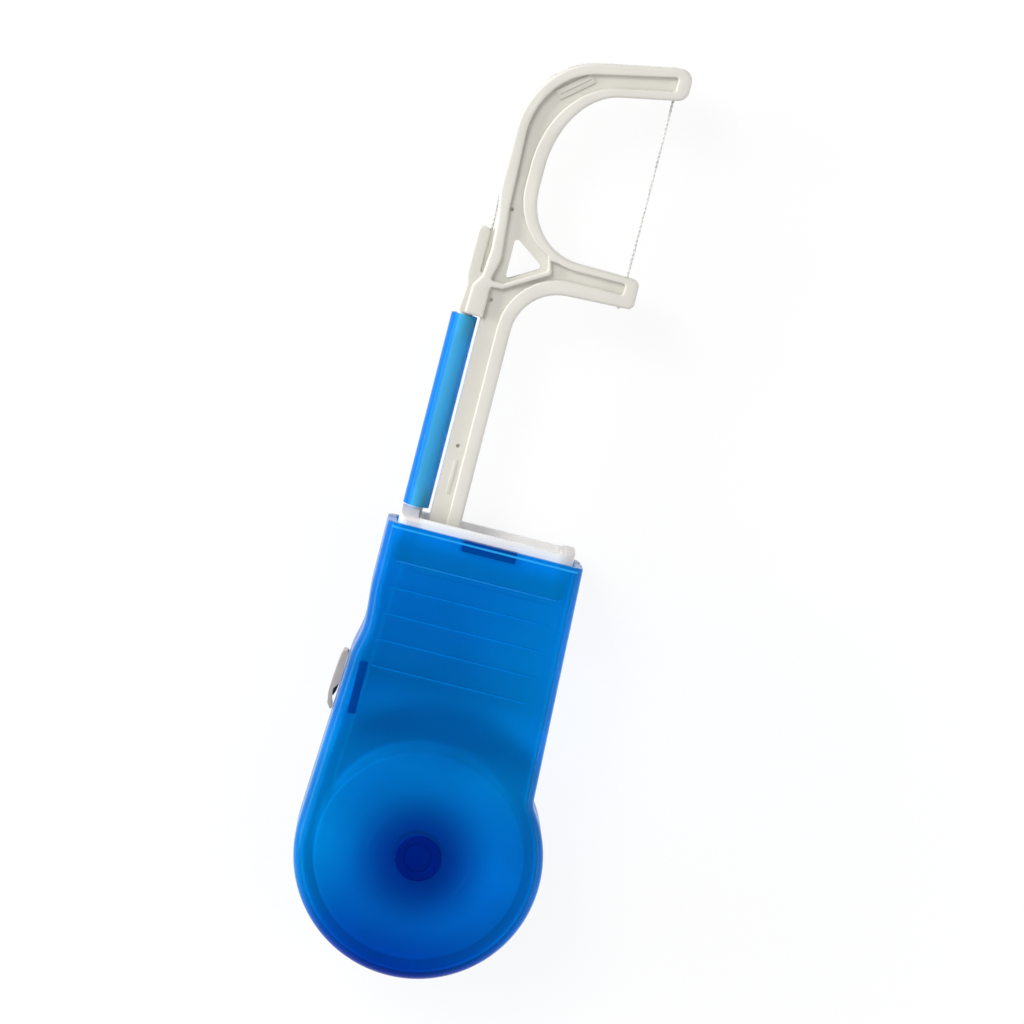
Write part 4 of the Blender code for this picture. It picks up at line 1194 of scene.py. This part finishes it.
def lowerChannel():
    bottom = collarTop - 2 * collar["rise"]
    low, high = armUnder + channel["footRim"], forkFloor - channel["lowerArmRim"]
    end = fork["armEnd"] - channel["tipRim"]
    right = neck["right"] - neck["rim"]
    rail = neck["left"] + 0.2
    rib = triangleRight + channel["pointWeb"] + channel["pointRib"]
    slope = triangle["pointRise"] / triangle["width"]
    strut = triangleLow - channel["strut"] * math.hypot(1, slope)
    ribTop = innerRimEdge(rib) - 0.1
    left, corner = neck["left"] - past, channel["corner"]
    corners = [
        (left, bottom, 0),
        (right, bottom, 0),
        (right, low, channel["fillet"]),
        (end, low, corner),
        (end, high, corner),
    ]
    inner = forkEdge(channel["innerRim"], channel["armRim"], channel["lowerArmRim"])
    corners += [(x, y, 0) for x, y in reversed(inner) if x > rib and y < forkFloor]
    corners += [
        (rib - 0.55, ribTop, 0),
        (rib, strut + slope * (rib - triangle["left"]), 0.6),
        (triangle["left"], strut, 1.0),
        (rail, strut - channel["strutLeftDrop"], corner),
        (rail, railLow, 0),
        (left, railLow, 0),
    ]
    return rounded(corners, 8)


def triangleOutline():
    corners = [
        (triangle["left"], triangleLow, triangle["corner"]),
        (triangleRight, trianglePoint, triangle["corner"]),
        (triangle["left"], triangleLow + triangle["height"], triangle["corner"]),
    ]
    return rounded(corners, 6)


# The floss's way, in millimetres, with heights from the middle plane, as in the solids
flossRoute = [
    (-14.60, -4.10, 2.75), (-14.95, -2.40, 2.70), (-15.12, -0.60, 2.65), (-15.06, 1.40, 2.55),
    (-14.30, 15.00, 1.85), (-13.35, 33.00, 0.75), (-12.81, 40.50, 0.15), (-12.75, 43.00, 0.00),
    (-12.75, 60.00, 0.00), (-12.75, 77.00, 0.00), (-12.66, 83.50, 0.00), (-12.42, 86.50, 0.00),
    (-12.35, 90.00, 0.00), (-12.38, 93.40, 0.00), (-12.50, 96.80, 0.00), (-12.52, 102.00, 0.00),
    (-12.40, 107.00, 0.00), (-12.00, 110.40, 0.00), (-10.92, 113.35, 0.00), (-9.10, 115.95, 0.00),
    (-6.75, 117.85, 0.00), (-4.60, 118.82, 0.00), (-3.05, 119.22, 0.00), (2.00, 120.20, 0.00),
    (7.30, 121.25, 0.00), (8.20, 121.38, 0.00), (8.60, 121.10, 0.00), (8.70, 120.50, 0.00),
    (8.70, 117.50, 0.00), (8.70, 103.50, 0.00), (8.70, 89.50, 0.00), (8.70, 86.30, 0.00),
    (8.68, 85.65, -0.30), (8.65, 85.45, -0.95), (8.60, 85.45, -2.45), (8.50, 85.55, -2.97),
    (8.20, 85.80, -3.20), (-4.00, 85.70, -3.20), (-9.00, 84.75, -3.20), (-11.30, 85.60, -3.20),
    (-12.10, 86.55, -3.15), (-12.38, 87.20, -2.75), (-12.36, 87.40, -1.35),
]
flossGroove = (12, 35)  # the stretch that runs in a groove of the head
routeSteps = 2  # points laid along each stretch of the way
flossPly = {"radius": 0.12, "offset": 0.11, "pitch": 1.4, "step": 0.12}


def smoothLine(points, steps):
    line = []
    last = len(points) - 1
    for i in range(last):
        before, here = points[max(i - 1, 0)], points[i]
        after, beyond = points[i + 1], points[min(i + 2, last)]
        span = (after - here).length
        leadIn = (after - before).normalized() * span
        leadOut = (beyond - here).normalized() * span
        for step in range(steps):
            t = step / steps
            line.append(
                here * (2 * t**3 - 3 * t**2 + 1)
                + leadIn * (t**3 - 2 * t**2 + t)
                + after * (-2 * t**3 + 3 * t**2)
                + leadOut * (t**3 - t**2)
            )
    return line + [points[-1]]


def evenLine(points, step):
    # the same line with its points evenly spaced
    line = [points[0]]
    wanted = step
    walked = 0.0
    for here, after in zip(points, points[1:]):
        span = (after - here).length
        while wanted <= walked + span:
            line.append(here.lerp(after, (wanted - walked) / span))
            wanted += step
        walked += span
    return line


def twistedPlies(line, plies):
    # each ply circles the line once per pitch
    side = Vector((0, 0, 1))
    tracks = [[] for _ in range(plies)]
    for i, here in enumerate(line):
        heading = (line[min(i + 1, len(line) - 1)] - line[max(i - 1, 0)]).normalized()
        side = (side - heading * side.dot(heading)).normalized()
        other = heading.cross(side)
        for ply, track in enumerate(tracks):
            angle = 2 * math.pi * (i * flossPly["step"] / flossPly["pitch"] + ply / plies)
            track.append(here + (side * math.cos(angle) + other * math.sin(angle)) * flossPly["offset"])
    return tracks


flossWay = smoothLine([Vector(point) + Vector((0, 0, middle)) for point in flossRoute], routeSteps)


marks = {
    "bar": {"middle": (-5.7, 115.15), "size": (5.8, 1.5), "turn": 40, "rise": 0.16},
    "barLine": {"middle": (-5.75, 115.3), "size": (5.0, 0.22), "turn": 40, "rise": 0.3},
    "neckBar": {"middle": (-9.05, 55.3), "size": (0.6, 5.2), "turn": 0, "rise": 0.08},
    "pins": ((-10.25, 95.6), (-9.9, 82.0), (-9.3, 60.0)),
    "pinRadius": 0.28,
    "pinDepth": 0.4,
}


def lipLevels(face, side):
    # heights and widths of a rounded lip where a channel breaks through a face
    lip = channel["lip"]
    levels = []
    for step in range(5):
        angle = math.radians(90 * step / 4)
        levels.append((face - side * lip * (1 - math.sin(angle)), lip * (1 - math.cos(angle))))
    return levels + [(face + side, lip)]


def addBar(name, bar, base):
    # a raised bar on the web, turned by an angle in degrees
    turn = Matrix.Rotation(math.radians(bar["turn"]), 2)
    length, width = bar["size"]
    corners = rectangle(-length / 2, -width / 2, length / 2, width / 2, min(0.15, width * 0.3))
    outline = [tuple(Vector(bar["middle"]) + turn @ Vector(corner)) for corner in corners]
    plate = addPlate(name, outline, base - 0.5, base + bar["rise"])
    return softenEdges(plate, 0.04, 2, 60)


def makeFinger():
    half = finger["thickness"] / 2
    bar = addPlate("finger", fingerOutline(), middle - half, middle + half)
    softenEdges(bar, finger["round"], 5, 60)
    low, high = finger["floor"]
    inside, sunk = finger["left"] + finger["width"] + finger["slot"], finger["floorSunk"]
    left, top = inside - finger["floorWidth"], fingerHigh - finger["floorShort"]
    bed = addBlock("slotBed", left, slotFloor - sunk, inside + sunk, top, middle + low, middle + high)
    return bar, bed


def makeHead():
    head = addPlate("headFrame", headOutline(), headRear, headFront)
    softenEdges(head, neck["edge"], 4, 60)
    growOn(head, *makeFinger())
    webHigh, webLow = middle + neck["web"] / 2, middle - neck["web"] / 2
    frontLip, rearLip = lipLevels(headFront, 1), lipLevels(headRear, -1)
    for outline in (headChannel(), lowerChannel()):
        front = addFlared("front", outline, [(webHigh, 0)] + frontLip)
        rear = addFlared("rear", outline, [(webLow, 0)] + rearLip)
        cutAway(head, front, rear)
    cutAway(head, addFlared("opening", triangleOutline(), rearLip[::-1] + frontLip))
    barbTop, barbRise = collarFloorTop - collar["floor"] - gap, neck["barbRise"]
    barbLow, corner = barbTop - neck["barbWidth"], neck["barbCorner"]
    outline = rectangle(neck["left"], barbLow, neck["right"], barbTop, corner)
    barb = addPlate("barb", outline, headRear - barbRise, headFront + barbRise)
    spigotRadius, spigotLow = tube["radius"] - tube["wall"] - gap, tubeHigh - tube["spigot"]
    spigot = addRod("spigot", spigotRadius, spigotLow, railLow + 2, (tube["x"], middle), "Y")
    bars = [addBar(name, marks[name], webHigh) for name in ("bar", "barLine", "neckBar")]
    growOn(head, barb, spigot, *bars)
    for place in marks["pins"]:
        depth = webHigh - marks["pinDepth"]
        cutAway(head, addRod("pin", marks["pinRadius"], depth, webHigh + past, place, sides=20))
    ends = (spigotLow - past, slotFloor + past)
    railWay = addRod("railWay", tube["hole"], *ends, (tube["threadX"], middle), "Y", 24)
    start, end = (routeSteps * spot for spot in flossGroove)
    groove = addThread("groove", [flossWay[start : end + 1]], tube["hole"], 2)
    cutAway(head, railWay, groove)
    finishPiece(head, "case", "white_plastic", headPlastic, "head_frame")


def makeFloss():
    line = evenLine(flossWay, flossPly["step"])
    strand = addThread("flossStrand", twistedPlies(line, 2), flossPly["radius"], 1)
    finishPiece(strand, "case", "floss_thread", flossFibre, "floss_strand", angle=60)


makeHead()
makeFloss()
print("head and floss made")


# Cutter on the case's left side
cutterShape = {
    "blade": (
        (-17.28, 25.9), (-17.5, 26.1), (-18.0, 26.1), (-18.28, 25.1), (-18.48, 23.2),
        (-18.66, 21.0), (-18.74, 19.3), (-18.52, 17.9), (-17.95, 17.1), (-17.65, 17.4),
        (-17.92, 18.2), (-18.12, 19.2), (-18.22, 20.6), (-18.08, 22.0), (-17.95, 22.6),
        (-17.82, 21.4), (-17.62, 20.9), (-17.45, 21.2), (-17.36, 23.6),
    ),
    "cheek": (
        (-17.5, 25.8), (-18.15, 25.85), (-18.4, 24.1), (-18.55, 22.1),
        (-18.6, 20.0), (-18.3, 20.05), (-17.85, 20.7), (-17.55, 21.3),
    ),
    "cheekThickness": 0.35,
    "tooth": (
        (-17.5, 22.5), (-18.3, 21.5), (-18.42, 20.2), (-18.3, 19.35),
        (-17.95, 19.1), (-17.65, 19.9), (-17.5, 21.0),
    ),
    "toothThickness": 0.8,
    "shankLeft": -17.8,
    "shankReach": 1.9,
}


def makeCutter():
    half, left = cutter["thickness"] / 2, cutterShape["shankLeft"]
    top, right = cutter["top"], left + cutterShape["shankReach"]
    low = cutter["height"] - cutter["width"] / 2
    high = cutter["height"] + cutter["width"] / 2
    cheekThickness = cutterShape["cheekThickness"]
    blade = addPlate("cutterBlade", cutterShape["blade"], low, high)
    cheek = addPlate("cheek", cutterShape["cheek"], high - cheekThickness, high)
    shank = addBlock("shank", left, top - half, right, top + half, low, high)
    growOn(blade, cheek, shank)
    softenEdges(blade, 0.07, 2, 40)
    finishPiece(blade, "case", "steel", stampedSteel, "cutter")
    # a near-black plate in the gap under the blade's leaf: a painted shadow
    toothTop = high - 2 * cheekThickness
    tooth = addPlate("cutterShadowTooth", cutterShape["tooth"], toothTop - cutterShape["toothThickness"], toothTop)
    softenEdges(tooth, 0.05, 2, 40)
    finishPiece(tooth, "case", "steel", paintedShadowSteel)


makeCutter()
print("cutter made")


# Stage, light and camera
stage = {"half": 2.0, "drop": 0.2, "paper": 0.92, "cameraGlow": 0.88, "world": 0.40}
lamps = {
    "key": {"place": (-0.50, 0.45, 0.60), "size": (0.35, 0.35), "power": 4.2, "mirrored": True},
    "fill": {"place": (0.45, -0.10, 0.75), "size": (0.60, 0.60), "power": 1.4, "mirrored": True},
    "leftStrip": {"place": (-0.60, 0.05, 0.16), "size": (0.50, 0.12), "power": 3.8, "mirrored": False},
    "rightStrip": {"place": (0.60, 0.00, 0.12), "size": (0.50, 0.12), "power": 1.6, "mirrored": False},
}
aim = Vector((0.0, 0.05, 0.008))
camera = {
    "target": Vector((0.93, 52.3, middle)),
    "elevation": 5.6,
    "yaw": 2.5,
    "roll": 14.5,
    "distance": 650.0,
    "pixelsPerMillimetre": 6.77,
    "sensor": 36.0,
    "frame": 1024,
    "clipEnd": 50,
}


def showSeen(owner, output, lit, seen, cameraShare):
    # glossy and transmission rays meet what is seen, camera rays a share of it, and all others what is lit
    rays = addNode(owner, "LightPath", (-600, 300)).outputs
    inputs = {0: rays["Is Glossy Ray"], 1: rays["Is Transmission Ray"]}
    mirrored = addNode(owner, "Math", (-400, 200), inputs, operation="MAXIMUM")
    inputs = {0: rays["Is Camera Ray"], 1: cameraShare}
    direct = addNode(owner, "Math", (-400, 400), inputs, operation="MULTIPLY")
    inputs = {0: mirrored.outputs[0], 1: direct.outputs[0]}
    either = addNode(owner, "Math", (-200, 300), inputs, operation="MAXIMUM")
    mix = addNode(owner, "MixShader", (200, 0), {"Fac": either.outputs[0], 1: lit, 2: seen})
    setInputs(owner, output, {"Surface": mix.outputs["Shader"]})


def makeFloor():
    deselectAll()
    bpy.ops.mesh.primitive_plane_add(size=2 * stage["half"], location=(0, 0, -stage["drop"] * mm))
    floor = bpy.context.active_object
    floor.name = "floor"
    material = bpy.data.materials.new("paleFloor")
    material.use_nodes = True
    material.node_tree.nodes.clear()
    output = addNode(material, "OutputMaterial", (400, 0))
    paper = addNode(material, "BsdfDiffuse", (0, 0), {"Color": (*[stage["paper"]] * 3, 1)})
    glow = addNode(material, "Emission", (0, -200), {"Strength": 1.0})
    showSeen(material, output, paper.outputs["BSDF"], glow.outputs["Emission"], stage["cameraGlow"])
    floor.data.materials.append(material)


def makeWorld():
    world = bpy.data.worlds.new("studio")
    world.use_nodes = True
    bpy.context.scene.world = world
    nodes = world.node_tree.nodes
    light = nodes["Background"]
    setInputs(world, light, {"Color": (1, 1, 1, 1), "Strength": stage["world"]})
    seen = addNode(world, "Background", (0, -200), {"Color": (1, 1, 1, 1), "Strength": 1.0})
    showSeen(world, nodes["World Output"], light.outputs["Background"], seen.outputs["Background"], 1.0)


def addLamps():
    for name, lamp in lamps.items():
        deselectAll()
        place = Vector(lamp["place"])
        bpy.ops.object.light_add(type="AREA", location=place)
        light = bpy.context.active_object
        light.name = name
        light.data.shape = "RECTANGLE"
        light.data.size, light.data.size_y = lamp["size"]
        light.data.energy = lamp["power"]
        light.visible_glossy = lamp["mirrored"]
        light.rotation_mode = "QUATERNION"
        light.rotation_quaternion = (aim - place).to_track_quat("-Z", "Y")


def addCamera():
    elevation, yaw, roll = (math.radians(camera[key]) for key in ("elevation", "yaw", "roll"))
    flat = math.cos(elevation)
    back = Vector((-math.sin(yaw) * flat, math.sin(elevation), math.cos(yaw) * flat))
    right = Vector((0, 1, 0)).cross(back).normalized()
    up = back.cross(right)
    tiltedUp = up * math.cos(roll) - right * math.sin(roll)
    tiltedRight = right * math.cos(roll) + up * math.sin(roll)
    pose = Matrix((tiltedRight, tiltedUp, back)).transposed().to_4x4()
    pose.translation = camera["target"] * mm + back * camera["distance"] * mm
    deselectAll()
    bpy.ops.object.camera_add()
    eye = bpy.context.active_object
    eye.matrix_world = pose
    eye.data.sensor_width = camera["sensor"]
    seen = camera["frame"] / camera["pixelsPerMillimetre"]
    eye.data.lens = camera["sensor"] * camera["distance"] / seen
    eye.data.clip_end = camera["clipEnd"]
    bpy.context.scene.camera = eye


makeFloor()
makeWorld()
addLamps()
addCamera()
bpy.context.scene.view_settings.view_transform = "Standard"
print("stage made")
